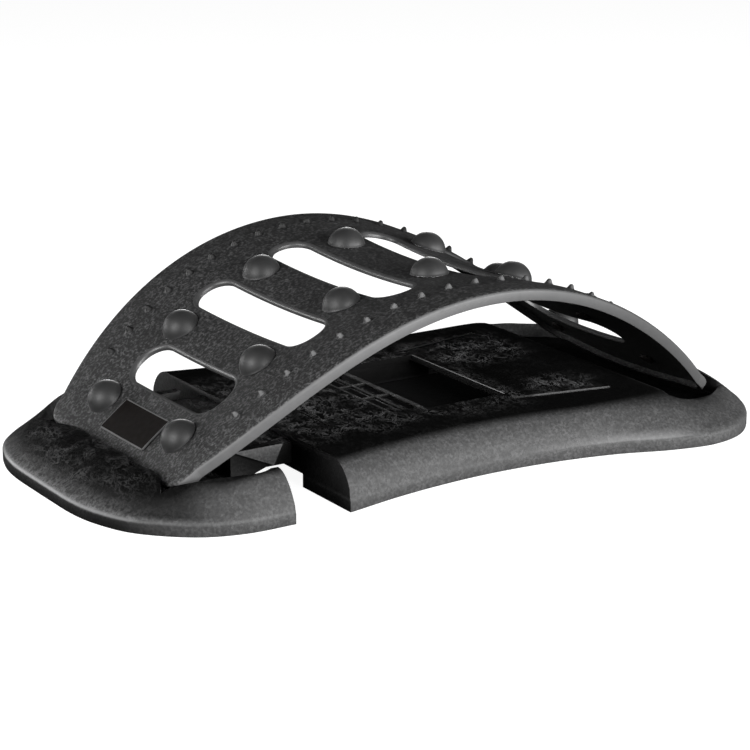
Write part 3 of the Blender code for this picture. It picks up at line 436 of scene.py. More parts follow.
def rail_rings(outline, rounding, fullness, cut_x, sink=0.0):
    """Rings of points from a shell's bottom edge up over its rail. A sink gives the shell's inside."""
    near = [(x, -y) for x, y in outline]
    path = spline(near + outline[-2::-1], OUTLINE_STEP)
    last = len(path) - 1
    side = 1.0 if outline[-1][0] > cut_x else -1.0
    middle = Vector(((cut_x + outline[-1][0]) / 2, 0.0))
    normals = []
    for i, p in enumerate(path):
        along = path[min(i + 1, last)] - path[max(i - 1, 0)]
        normal = Vector((-along.y, along.x)).normalized()
        normal = -normal if normal.dot(middle - p) < 0 else normal
        square = Vector((0.0, math.copysign(1.0, normal.y)))
        near_cut = min(abs(p.x - cut_x) / CUT_BLEND, 1.0)
        normals.append(square.lerp(normal, near_cut) if near_cut < 1 else normal)
    below = {
        BOTTOM: (0.0, CUT_BOTTOM if sink else PAD_PROUD),
        UNDER_CREASE: (0.0, SKIRT_TOP - CREASE),
        IN_CREASE: (CREASE_WIDTH, SKIRT_TOP - CREASE * CREASE_RISE),
    }
    rings = []
    for step in rail_steps(sink):
        ring = []
        for p, n in zip(path, normals):
            across = below[step][0] if step in below else rounding(p.x) * step
            spot = p + n * (sink + across)
            if abs(p.x - cut_x) < CUT_BLEND:
                spot.x = cut_x + side * (sink + abs(spot.x - cut_x) * (1 - sink / CUT_BLEND))
            if step in below:
                height = below[step][1]
            else:
                share = (1 - (1 - step) ** 2) ** fullness(p.x)
                height = mix(SKIRT_TOP, deck_height(spot.x), share) - sink
            ring.append([spot.x, spot.y, height])
        # Near the cut the points keep going outwards, so no two fall together
        for i in range(1, last // 2 + 1):
            if (ring[i][0] - ring[i - 1][0]) * side < TINY:
                ring[i][0] = ring[i - 1][0] + side * TINY
                ring[last - i][0] = ring[i][0]
        rings.append(ring)
    return rings


def ring_solid(bm, rings):
    levels = [[bm.verts.new(p) for p in ring] for ring in rings]
    for lower, upper in zip(levels, levels[1:]):
        for i in range(len(lower) - 1):
            bm.faces.new((lower[i], lower[i + 1], upper[i + 1], upper[i]))
    for level in (levels[0], levels[-1]):
        last = len(level) - 1
        for i in range(last // 2):
            corners = [level[i], level[i + 1], level[last - i - 1], level[last - i]]
            bm.faces.new(list(dict.fromkeys(corners)))
    bm.faces.new([level[0] for level in levels] + [level[-1] for level in levels][::-1])


def pocket_outline(near_points, far_points, side):
    near = spline([(side * x * MM, -y * MM) for x, y in near_points], POCKET_STEP)
    far = spline([(side * x * MM, y * MM) for x, y in reversed(far_points)], POCKET_STEP)
    bottom_x = LOBE_CREST_X + LOBE_DEPTH
    lobes = []
    edges = LOBE_EDGES[::-1]
    for low, high in zip(edges, edges[1:]):
        for k in range(LOBE_STEPS):
            share = k / LOBE_STEPS
            bulge = LOBE_DEPTH * math.sin(math.pi * share) ** LOBE_POWER
            lobes.append((side * (bottom_x - bulge), mix(low, high, share)))
    lobes.append((side * bottom_x, edges[-1]))
    lobes.append((side * bottom_x, POCKET_FAR_Y))
    return [*near, *lobes, *far]


def cut_with(piece, name, *fills, operation="DIFFERENCE"):
    """Cuts shapes out of a piece, each as an object of its own, or adds them."""
    for number, fill in enumerate(fills):
        bm = bmesh.new()
        fill(bm)
        boolean(piece, add_object(f"{name}_{number}", bm, cutter=True), operation)


def pads_fill(pads, radius, low, high):
    def fill(bm):
        for x, y in pads:
            for side in (-1, 1):
                cylinder(bm, (x, side * y), radius, low, high)

    return fill


def pair_fill(low, high):
    """A box at each side of the middle plane, given for the far side."""

    def fill(bm):
        box(bm, low, high)
        box(bm, (low[0], -high[1], low[2]), (high[0], -low[1], high[2]))

    return fill


def box_fill(low, high):
    return lambda bm: box(bm, low, high)


def pocket_keep(side):
    """What stays solid round a foot pocket: its walls and floor."""
    xs = sorted((side * (POCKET_INNER_X - WALL), side * (LOBE_CREST_X + LOBE_DEPTH + WALL)))
    return box_fill((xs[0], -POCKET_KEEP_HALF, POCKET_FLOOR - WALL), (xs[1], POCKET_KEEP_HALF, KEEP_TOP))


def make_shell(name, form, keep):
    """A shell less the space inside it, in which some fills are kept solid."""
    bm = bmesh.new()
    ring_solid(bm, rail_rings(*form))
    made = add_object(f"base_{name}_shell", bm)
    bm = bmesh.new()
    ring_solid(bm, rail_rings(*form, sink=WALL))
    inside = add_object(f"{name}_hollow", bm, cutter=True)
    cut_with(inside, f"{name}_hollow_keep", *keep)
    boolean(made, inside)
    return made


def windows_fill(bm):
    """The six latch windows and the recess."""
    low = DECK_UNDER - FAR_PAST
    inner = WINDOW_ROW_Y - WINDOW_BAR / 2
    outer = WINDOW_ROW_Y + WINDOW_BAR / 2
    rows = ((-WINDOW_HALF_Y, -outer), (-inner, inner), (outer, WINDOW_HALF_Y))
    for column in range(2):
        left = WINDOW_LEFT_X + column * NOTCH_PITCH
        for near, far in rows:
            box(bm, (left, near, low), (left + NOTCH_PITCH - WINDOW_BAR, far, CUT_TOP))
    box(bm, (RECESS_LEFT_X, -RECESS_HALF_Y, low), (RECESS_END_X, RECESS_HALF_Y, CUT_TOP))


def grooves_fill(bm):
    start = Vector(GROOVE_FROM)
    end = Vector(GROOVE_TO)
    along = end - start
    square = Vector((-along.y, along.x)).normalized() * (GROOVE_WIDTH / 2)
    for side in (-1, 1):
        corners = [start - square, end - square, end + square, start + square]
        prism(bm, [(c.x, side * c.y) for c in corners], DECK_TOP - GROOVE_DEPTH, CUT_TOP)


def screw_holes_fill(bm):
    middle = (SLEEVE_HALF + RIB_OUTER) / 2
    top = COVER_BOTTOM + SCREW_LENGTH + RUN
    for x in SCREW_XS:
        for side in (-1, 1):
            cylinder(bm, (x, side * middle), SCREW_HOLE, RIB_BOTTOM - PAST, top, SCREW_SIDES)


def make_base_main():
    wide = SLEEVE_HALF + RUN
    keep = (
        pair_fill((MAIN_CUT_X - WALL, SLEEVE_HALF, RIB_BOTTOM), (SLEEVE_END_X, RIB_OUTER, KEEP_TOP)),
        box_fill((STOP_X, -wide, RIB_BOTTOM), (STOP_X + STOP_THICK, wide, DECK_UNDER + RUN)),
        box_fill((SLEEVE_END_X - WALL, -wide, RIB_BOTTOM), (SLEEVE_END_X, wide, KEEP_TOP)),
        pocket_keep(1),
        pads_fill(MAIN_PADS, PAD_RADIUS + TOUCH + WALL / 2, KEEP_BOTTOM, KEEP_TOP),
    )
    made = make_shell("main", (MAIN_OUTLINE, main_round, main_fullness, MAIN_CUT_X), keep)
    outline = pocket_outline(MAIN_POCKET_SIDE, MAIN_POCKET_SIDE, 1)
    mouth = (MAIN_CUT_X - FAR_PAST, MAIN_CUT_X + WALL + RUN)
    seam = (SEAM_X - SEAM_WIDTH / 2, SEAM_X + SEAM_WIDTH / 2)
    half = SLEEVE_HALF
    channel = (FINGER_TIP_X - FINGER_HEAD_LENGTH - RUN, -WINDOW_HALF_Y, DECK_UNDER - PAST)
    cut_with(
        made,
        "main_cut",
        lambda bm: prism(bm, outline, POCKET_FLOOR, CUT_TOP),
        box_fill((mouth[0], -half, CUT_BOTTOM), (mouth[1], half, DECK_UNDER)),
        pair_fill((mouth[0], half - RUN, CUT_BOTTOM), (mouth[1], RIB_OUTER + TOUCH, RIB_BOTTOM)),
        windows_fill,
        box_fill(channel, (RECESS_LEFT_X + RUN, WINDOW_HALF_Y, DECK_TOP - WINDOW_SKIN)),
        grooves_fill,
        box_fill((seam[0], -half, DECK_TOP - SEAM_DEPTH), (seam[1], half, CUT_TOP)),
        screw_holes_fill,
        pads_fill(MAIN_PADS, PAD_RADIUS + TOUCH, CUT_BOTTOM, PAD_THICK + TOUCH),
    )
    settle(made)
    return made


def make_base_end():
    keep = (
        pocket_keep(-1),
        pads_fill(END_PADS, PAD_RADIUS + TOUCH + WALL / 2, KEEP_BOTTOM, KEEP_TOP),
    )
    made = make_shell("end", (END_OUTLINE, end_round, end_fullness, END_CUT_X), keep)
    outline = pocket_outline(END_POCKET_SIDE, END_POCKET_FAR_SIDE, -1)
    mouth_low = (-POCKET_INNER_X - WALL, TONGUE_HALF + RUN, POCKET_FLOOR)
    cut_with(
        made,
        "end_pocket",
        lambda bm: prism(bm, outline, POCKET_FLOOR, CUT_TOP),
        pair_fill(mouth_low, (END_CUT_X + WALL, POCKET_MOUTH_HALF, CUT_TOP)),
    )
    foot = POCKET_FLOOR - WALL / 2
    face = [(GUSSET_ROOT_X, DECK_TOP), (GUSSET_TIP_X, DECK_TOP), (GUSSET_HEEL_X, GUSSET_HEEL_Z)]
    back = [*face, (END_CUT_X - WALL / 2, foot), (GUSSET_ROOT_X, foot)]

    def gusset_fill(points, inner, outer):
        def fill(bm):
            for side in (-1, 1):
                prism(bm, points, *sorted((side * inner, side * outer)), axis=1)

        return fill

    low = (END_CUT_X - WALL, -TONGUE_HALF, TONGUE_BOTTOM)
    cut_with(
        made,
        "tongue",
        box_fill(low, (TONGUE_TIP_X, TONGUE_HALF, TONGUE_TOP)),
        gusset_fill(back, GUSSET_INNER, GUSSET_SETBACK),
        gusset_fill(face, GUSSET_SETBACK - TOUCH, GUSSET_OUTER),
        operation="UNION",
    )
    # The tongue's hollow, and the slot in its top that the catch finger lies in
    inner = TONGUE_HALF - TONGUE_SKIN
    low = (END_CUT_X + WALL, -inner, TONGUE_BOTTOM - PAST)
    slack = TONGUE_TOP - TONGUE_SKIN - PAST
    top = TONGUE_TOP + PAST
    head_x = FINGER_TIP_X - FINGER_HEAD_LENGTH
    arm = FINGER_HALF + RUN
    head = FINGER_HEAD_HALF + RUN
    cut_with(
        made,
        "tongue_cut",
        box_fill(low, (TONGUE_TIP_X - TONGUE_SKIN, inner, TONGUE_TOP - TONGUE_SKIN)),
        box_fill((FINGER_ROOT_X - TOUCH, -arm, slack), (head_x, arm, top)),
        box_fill((head_x - RUN, -head, slack), (FINGER_TIP_X + RUN, head, top)),
        pads_fill(END_PADS, PAD_RADIUS + TOUCH, CUT_BOTTOM, PAD_THICK + TOUCH),
    )
    settle(made)
    return made


# Arch


def arch_slope(reach, side):
    """The plate's slope at a distance from its middle, on the sliding foot's side or the fixed foot's."""
    turn = math.pi * reach / ARCH_HALF_LENGTH
    if side < 0:
        return FREE_SLOPE * math.sin(turn / 2)
    return FIXED_SLOPES[0] * math.sin(turn / 2) + FIXED_SLOPES[1] * math.sin(turn)


def arch_point(s):
    """Where a place along the flat plate comes to lie, and its slope there."""
    x = 0.0
    z = ARCH_TOP
    reach = abs(s)
    side = math.copysign(1.0, s)
    part = reach / ARCH_STEPS
    for k in range(ARCH_STEPS):
        angle = arch_slope((k + 0.5) * part, side)
        x += part * math.cos(angle)
        z -= part * math.sin(angle)
    return side * x, z, side * arch_slope(reach, side)


def arch_half_width(s):
    u = s / TAPER_UNIT
    return ARCH_HALF_WIDTH * (1 - TAPER_SQUARE * u**2 - TAPER_FOURTH * u**4)


def dish_depth(s):
    return mix(DISH_MIDDLE, DISH_FOOT, smoothstep(abs(s), DISH_FROM, ARCH_HALF_LENGTH))


def dish(s, y):
    """How far the plate sags across its width."""
    return -dish_depth(s) * max(0.0, 1 - (y / (DISH_SHARE * arch_half_width(s))) ** 2)


def bend(bm):
    """Bends what is modelled on the flat plate to the arch's curve."""
    known = {}
    for v in bm.verts:
        s = v.co.x
        key = round(s / MM, 4)
        if key not in known:
            known[key] = arch_point(s)
        x, z, slope = known[key]
        up = v.co.z + dish(s, v.co.y)
        v.co = (x + up * math.sin(slope), v.co.y, z + up * math.cos(slope))


def arch_outline():
    straight = ARCH_HALF_LENGTH - FOOT_CORNER
    places = [straight * k / OUTLINE_PARTS for k in range(-OUTLINE_PARTS, OUTLINE_PARTS + 1)]
    near = [(s, -arch_half_width(s)) for s in places]
    corner = []
    width = arch_half_width(straight)
    for k in range(1, CORNER_STEPS + 1):
        angle = math.pi / 2 * k / CORNER_STEPS
        y = -(width - FOOT_CORNER * (1 - math.cos(angle)))
        corner.append((straight + FOOT_CORNER * math.sin(angle), y))
    lower = [(-s, y) for s, y in reversed(corner)] + near + corner
    return lower + [(s, -y) for s, y in reversed(lower)]


def slot_outline(middle, width, half):
    """A slot whose round ends have a short flat, with points along its sides."""
    out = []
    corner = width / 2 - SLOT_FLAT
    along = half - corner
    for sx, sy, start in ((1, 1, 0), (-1, 1, 90), (-1, -1, 180), (1, -1, 270)):
        for k in range(SLOT_STEPS + 1):
            angle = math.radians(start + 90 * k / SLOT_STEPS)
            x = middle + sx * SLOT_FLAT + corner * math.cos(angle)
            out.append((x, sy * along + corner * math.sin(angle)))
        if start in (90, 270):
            x = middle + sx * SLOT_FLAT + sx * corner
            for k in range(1, SLOT_STEPS):
                out.append((x, mix(sy * along, -sy * along, k / SLOT_STEPS)))
    return out


def circle(centre, radius, sides):
    turns = [2 * math.pi * k / sides for k in range(sides)]
    return [(centre[0] + radius * math.cos(t), centre[1] + radius * math.sin(t)) for t in turns]


def dome_places():
    rows = range(-DOME_ROWS, DOME_ROWS + 1)
    return [(row * DOME_PITCH, side * DOME_Y) for row in rows for side in (-1, 1)]


def bump_places():
    out = []
    for k in range(-BUMP_ROWS, BUMP_ROWS + 1):
        s = k * BUMP_PITCH
        y = BUMP_Y * (1 - BUMP_TAPER * (s / TAPER_UNIT) ** 2)
        out += [(s, -y), (s, y)]
    return out


def offset_loop(loop, distance):
    out = []
    count = len(loop)
    for i in range(count):
        along = Vector(loop[(i + 1) % count]) - Vector(loop[i - 1])
        normal = Vector((-along.y, along.x)).normalized()
        out.append((loop[i][0] + normal.x * distance, loop[i][1] + normal.y * distance))
    return out


def wall_rings(bm, loop, levels):
    """A wall round a loop, through levels given as an offset and a height. Gives its first and last rings."""
    rings = []
    for shift, height in levels:
        rings.append([bm.verts.new((x, y, height)) for x, y in offset_loop(loop, shift)])
    skin_loops(bm, rings)
    return rings[0], rings[-1]


def ring_edges(bm, ring):
    out = []
    for i, v in enumerate(ring):
        other = ring[(i + 1) % len(ring)]
        out.append(bm.edges.get((v, other)) or bm.edges.new((v, other)))
    return out


def quarter(width, drop):
    """Levels of a quarter round, from the plate's surface down to the wall."""
    out = []
    for k in range(ROUND_STEPS + 1):
        angle = math.pi / 2 * k / ROUND_STEPS
        out.append((width * (1 - math.sin(angle)), ARCH_CROWN - drop * (1 - math.cos(angle))))
    return out


def flat_arch():
    """The plate laid flat: rim, slots, holes for the domes' stems, and bumps."""
    bm = bmesh.new()
    top_edges = []
    bottom_edges = []
    under = ARCH_CROWN - ARCH_THICK
    foot = -ARCH_RIM_HEIGHT
    wide = ARCH_RIM_WIDTH
    rim = quarter(*RIM_ROUND) + [(shift, foot + lift) for shift, lift in RIM_FOOT]
    rim += [(wide - RIM_INNER, foot), (wide, foot + RIM_INNER), (wide, under)]
    slot = quarter(*SLOT_ROUND) + [(0.0, under + SLOT_FOOT), (SLOT_FOOT, under)]
    hole = [(0.0, ARCH_CROWN), (0.0, under)]
    loops = [(arch_outline(), rim)]
    lips = []
    for middle, width, half in SLOTS:
        for side in (-1, 1):
            loops.append((slot_outline(side * middle, width, half)[::-1], slot))
    for place in dome_places():
        loops.append((circle(place, STEM_RADIUS + 2 * TOUCH, STEM_HOLE_SIDES)[::-1], hole))
    for loop, levels in loops:
        before = len(bm.faces)
        top, bottom = wall_rings(bm, loop, levels)
        if levels is slot:
            bm.faces.ensure_lookup_table()
            lips += bm.faces[before : before + (ROUND_STEPS + 1) * len(loop)]
        top_edges += ring_edges(bm, top)
        bottom_edges += ring_edges(bm, bottom)
    for place in bump_places():
        rings = []
        for radius, height in BUMP_PROFILE:
            points = circle(place, BUMP_RADIUS * radius, BUMP_SIDES)
            rings.append([bm.verts.new((x, y, ARCH_CROWN + BUMP_HEIGHT * height)) for x, y in points])
        skin_loops(bm, rings)
        bm.faces.new(rings[-1])
        top_edges += ring_edges(bm, rings[0])
    bmesh.ops.triangle_fill(bm, use_beauty=True, edges=top_edges)
    bmesh.ops.triangle_fill(bm, use_beauty=True, edges=bottom_edges)
    for face in bm.faces:
        face.material_index = 0
    for face in lips:
        face.material_index = 1
    return bm


def slice_up(bm, places, axis):
    """Cuts a mesh across at places along an axis, so it can follow a bend."""
    normal = Vector((1, 0, 0)) if axis == 0 else Vector((0, 1, 0))
    for place in places:
        geom = bm.verts[:] + bm.edges[:] + bm.faces[:]
        bmesh.ops.bisect_plane(bm, geom=geom, dist=TINY, plane_co=normal * place, plane_no=normal)


def make_arch():
    bm = flat_arch()
    slice_up(bm, [ARCH_HALF_LENGTH * (k / BEND_PARTS - 1) for k in range(1, 2 * BEND_PARTS)], 0)
    slice_up(bm, [k * STRIP for k in range(-STRIPS, STRIPS + 1)], 1)
    bmesh.ops.triangulate(bm, faces=bm.faces)
    bend(bm)
    return add_object("arch_shell", bm)


def surface_matrix(s, y, up):
    """A place on the bent plate, with Z along its normal."""
    x, z, slope = arch_point(s)
    lift = up + dish(s, y)
    place = Vector((x + lift * math.sin(slope), y, z + lift * math.cos(slope)))
    cross = 2 * dish_depth(s) * y / (DISH_SHARE * arch_half_width(s)) ** 2
    normal = Vector((math.sin(slope), -cross, math.cos(slope))).normalized()
    along = Vector((0, 1, 0)).cross(normal).normalized()
    turn = Matrix((along, normal.cross(along), normal)).transposed()
    return Matrix.Translation(place) @ turn.to_4x4()


def lathe(bm, profile, sides):
    """Turns a profile of radii and heights about Z."""
    rows = []
    for radius, height in profile:
        points = circle((0, 0), radius, sides) if radius else [(0, 0)]
        rows.append([bm.verts.new((x, y, height)) for x, y in points])
    for lower, upper in zip(rows, rows[1:]):
        for k in range(sides):
            j = (k + 1) % sides
            corners = [row[i % len(row)] for row, i in ((lower, k), (lower, j), (upper, j), (upper, k))]
            bm.faces.new(list(dict.fromkeys(corners)))


def dome_profile():
    """A round cap over a low rim, with its stem and snap head below."""
    under = -ARCH_THICK - DOME_GAP
    profile = [
        (0, under - SNAP_HEIGHT),
        (SNAP_RADII[0], under - SNAP_HEIGHT),
        (SNAP_RADII[1], under),
        (STEM_RADIUS, under),
        (STEM_RADIUS, DOME_SEAT),
    ]
    profile += [(DOME_RADIUS * share, DOME_SEAT + lift) for share, lift in DOME_RIM]
    low = DOME_SEAT + CAP_LIFT
    top = DOME_GAP + DOME_HEIGHT
    wide = DOME_RADIUS * CAP_SHARE
    ball = (wide**2 + (top - low) ** 2) / (2 * (top - low))
    spread = math.asin(wide / ball)
    for k in range(CAP_STEPS):
        angle = spread * (1 - k / CAP_STEPS)
        profile.append((ball * math.sin(angle), top - ball * (1 - math.cos(angle))))
    profile.append((0, top))
    return profile


def make_domes():
    out = []
    for number, (s, y) in enumerate(dome_places(), 1):
        bm = bmesh.new()
        lathe(bm, dome_profile(), DOME_SIDES)
        # The stem and snap head take the second material, near black as painted shade under the plate
        for face in bm.faces:
            face.material_index = 1 if face.calc_center_median().z < 0 else 0
        bm.transform(surface_matrix(s, y, ARCH_CROWN))
        out.append(add_object(f"dome_cap_{number:02d}", bm))
    return out


def make_badge():
    bm = bmesh.new()
    base = ARCH_CROWN + BADGE_GAP
    low = (BADGE_S - BADGE_LENGTH / 2, -BADGE_HALF_Y, base)
    box(bm, low, (BADGE_S + BADGE_LENGTH / 2, BADGE_HALF_Y, base + BADGE_THICK))
    upright = [e for e in bm.edges if abs(e.verts[0].co.z - e.verts[1].co.z) > BADGE_THICK / 2]
    bmesh.ops.bevel(bm, geom=upright, offset=BADGE_CORNER, segments=3, affect="EDGES")
    rims = [e for e in bm.edges if all(v.co.z > base + BADGE_THICK / 2 for v in e.verts)]
    bmesh.ops.bevel(bm, geom=rims, offset=BADGE_ROUND, segments=2, affect="EDGES")
    end = BADGE_LENGTH / 2 - BADGE_BORDER
    side = BADGE_HALF_Y - BADGE_BORDER
    cuts = [k * BADGE_CUT for k in range(-2, 3)]
    slice_up(bm, [BADGE_S + cut for cut in (*cuts, -end, end)], 0)
    cuts = [BADGE_HALF_Y * k / BADGE_STRIPS for k in range(1 - BADGE_STRIPS, BADGE_STRIPS)]
    slice_up(bm, [*cuts, -side, side], 1)
    bmesh.ops.triangulate(bm, faces=bm.faces)
    # Faces along the badge's border take the second material, a lighter colour painted as a highlight on its
    # edges
    for face in bm.faces:
        middle = face.calc_center_median()
        border = min(BADGE_LENGTH / 2 - abs(middle.x - BADGE_S), BADGE_HALF_Y - abs(middle.y))
        face.material_index = 1 if border < BADGE_BORDER else 0
    bend(bm)
    return add_object("badge_shell", bm)


# Materials

# Places between which the base's looks, its painted shade and its painted light change: along X in the part's
# own axes, away from the middle, along Y and along Z. A third number is the width over which the ends fade.
END_TOP_X = (-128 * MM, -145 * MM)
GROOVE_SIDE_X = (64 * MM, 98 * MM, 9 * MM)
LEFT_DECK_X = (44 * MM, 56 * MM)
FAR_GLINT_X = (46 * MM, 104 * MM, 8 * MM)
INSIDE_X = (-128 * MM, 58 * MM)
FAR_GROOVE_X = (42 * MM, 102 * MM)
TIP_GLOW_X = (-176 * MM, -196 * MM)
TIP_LINE_X = (-182 * MM, -196 * MM)
SIDE_LINE_X = (END_CUT_X, END_CUT_X - 8 * MM)
RECESS_X = (RECESS_LEFT_X - 2 * MM, RECESS_END_X)
SHINE_GROWS_X = (10 * MM, 95 * MM)
SHINE_ENDS_X = (106 * MM, 126 * MM)
GRAIN_GLINT_AWAY = (50 * MM, 70 * MM)
GROOVE_SIDE_AWAY = (30 * MM, 56 * MM, 7 * MM)
INSIDE_AWAY = (53.6 * MM, 53.9 * MM)
RECESS_AWAY = (46 * MM, 46.5 * MM)
FAR_GLINT_Y = (2 * MM, 24 * MM)
NEAR_FOOT_SHADE_Y = (-72 * MM, -15 * MM)
FAR_GROOVE_Y = (50 * MM, 67 * MM)
TIP_GLOW_Z = (6.5 * MM, 13 * MM)
CREASE_Z = (SKIRT_TOP - 1.2 * MM, SKIRT_TOP + 0.2 * MM)
SHINE_STARTS_Z = (SKIRT_TOP - 0.6 * MM, SKIRT_TOP + 0.2 * MM)
SHINE_ENDS_Z = (SKIRT_TOP + 0.6 * MM, SKIRT_TOP + 4.5 * MM)
THIN_FADE = 0.1 * MM
RIM_LINE = 0.8 * MM
END_LIFT = 0.135
# The colour of the painted highlights on the bars, the recess's rim, the crease, the rail's foot and the tip
PAINTED_HIGHLIGHT = (0.28, 0.28, 0.282)

# Two sets of strokes: direction in degrees, and cells per metre along and across it
STROKES = ((42, 120, 360), (73, 110, 340))
STROKE_EDGE = (0.008, 0.04)

# Places between which the plate's looks, its painted light and its painted shade change, along the frame's X
SPECKLE_X = (-150 * MM, 130 * MM)
BAND_DARKENS_X = (-60 * MM, 90 * MM)
BAND_DULLS_X = (20 * MM, 120 * MM)


class Nodes:
    """A short way to write a material's node tree."""

    def __init__(self, name, gloss=0.5):
        self.material = bpy.data.materials.new(name)
        self.material.use_nodes = True
        self.tree = self.material.node_tree
        self.shader = self.tree.nodes["Principled BSDF"]
        self.shader.inputs["Specular IOR Level"].default_value = gloss
        self.place = self.node("TexCoord").outputs["Object"]

    def put(self, value, target):
        """Sets an input, or links it where the value is another node's output."""
        if isinstance(value, bpy.types.NodeSocket):
            self.tree.links.new(value, target)
        else:
            target.default_value = value

    def node(self, kind, **values):
        """A node with its inputs and settings."""
        made = self.tree.nodes.new("ShaderNode" + kind)
        for key, value in values.items():
            if key in made.inputs:
                self.put(value, made.inputs[key])
            else:
                setattr(made, key, value)
        return made

    def parts(self, vector):
        return self.node("SeparateXYZ", Vector=vector).outputs

    def facing(self):
        """The parts of a face's normal."""
        return self.parts(self.node("NewGeometry").outputs["Normal"])

    def stretched(self, turn, along, across):
        """Object coordinates turned about Z, then counted in cells along and across that direction."""
        rotation = (0, 0, math.radians(turn))
        scale = (1 / along, 1 / across, 1 / across)
        made = self.node("Mapping", vector_type="TEXTURE", Vector=self.place, Rotation=rotation, Scale=scale)
        return made.outputs["Vector"]

    def noise(self, scale, detail=3.0, roughness=0.55, vector=None):
        made = self.node("TexNoise", Scale=scale, Detail=detail, Roughness=roughness)
        self.put(vector or self.place, made.inputs["Vector"])
        return made.outputs["Fac"]

    def ramp(self, value, low, high, start=0.0, end=1.0):
        limits = {"From Min": low, "From Max": high, "To Min": start, "To Max": end}
        return self.node("MapRange", Value=value, **limits).outputs["Result"]

    def within(self, value, low, high, fade=0.4 * MM):
        """A mask that is 1 between two places along an axis, with soft ends."""
        rise = self.ramp(value, low - fade, low + fade)
        return self.times(rise, self.ramp(value, high - fade, high + fade, 1.0, 0.0))

    def math(self, operation, first, *others):
        for other in others:
            made = self.node("Math", operation=operation)
            self.put(first, made.inputs[0])
            self.put(other, made.inputs[1])
            first = made.outputs["Value"]
        return first

    def times(self, *values):
        return self.math("MULTIPLY", *values)

    def most(self, *values):
        return self.math("MAXIMUM", *values)

    def colour(self, mask, dark, light, blend="MIX"):
        """One colour where a mask is 0 and another where it is 1."""
        made = self.node("Mix", data_type="RGBA", blend_type=blend)
        self.put(mask, made.inputs[0])
        for index, value in ((6, dark), (7, light)):
            self.put((*value, 1.0) if isinstance(value, tuple) else value, made.inputs[index])
        return made.outputs[2]

    def darkened(self, colour, share):
        return self.colour(1.0, colour, share, "MULTIPLY")

    def bump(self, height, distance, strength, normal=None):
        made = self.node("Bump", Height=height, Distance=distance, Strength=strength)
        if normal:
            self.put(normal, made.inputs["Normal"])
        return made.outputs["Normal"]

    def finished(self, colour, rough, normal):
        for key, value in (("Base Color", colour), ("Roughness", rough), ("Normal", normal)):
            self.put(value, self.shader.inputs[key])
        return self.material


def strokes(n, turn, along, across):
    """Fine tangled lines that run mostly in one direction, as a mask."""
    wave = n.noise(90.0, 2.0)
    lift = n.node("CombineXYZ", X=n.times(wave, 2.0), Y=n.times(wave, 6.0))
    bent = n.node("VectorMath", operation="ADD")
    n.put(n.stretched(turn, along, across), bent.inputs[0])
    n.put(lift.outputs["Vector"], bent.inputs[1])
    level = n.math("SUBTRACT", n.noise(1.0, 2.0, 0.55, bent.outputs["Vector"]), 0.5)
    return n.ramp(n.math("ABSOLUTE", level, 0.0), *STROKE_EDGE, 1.0, 0.0)


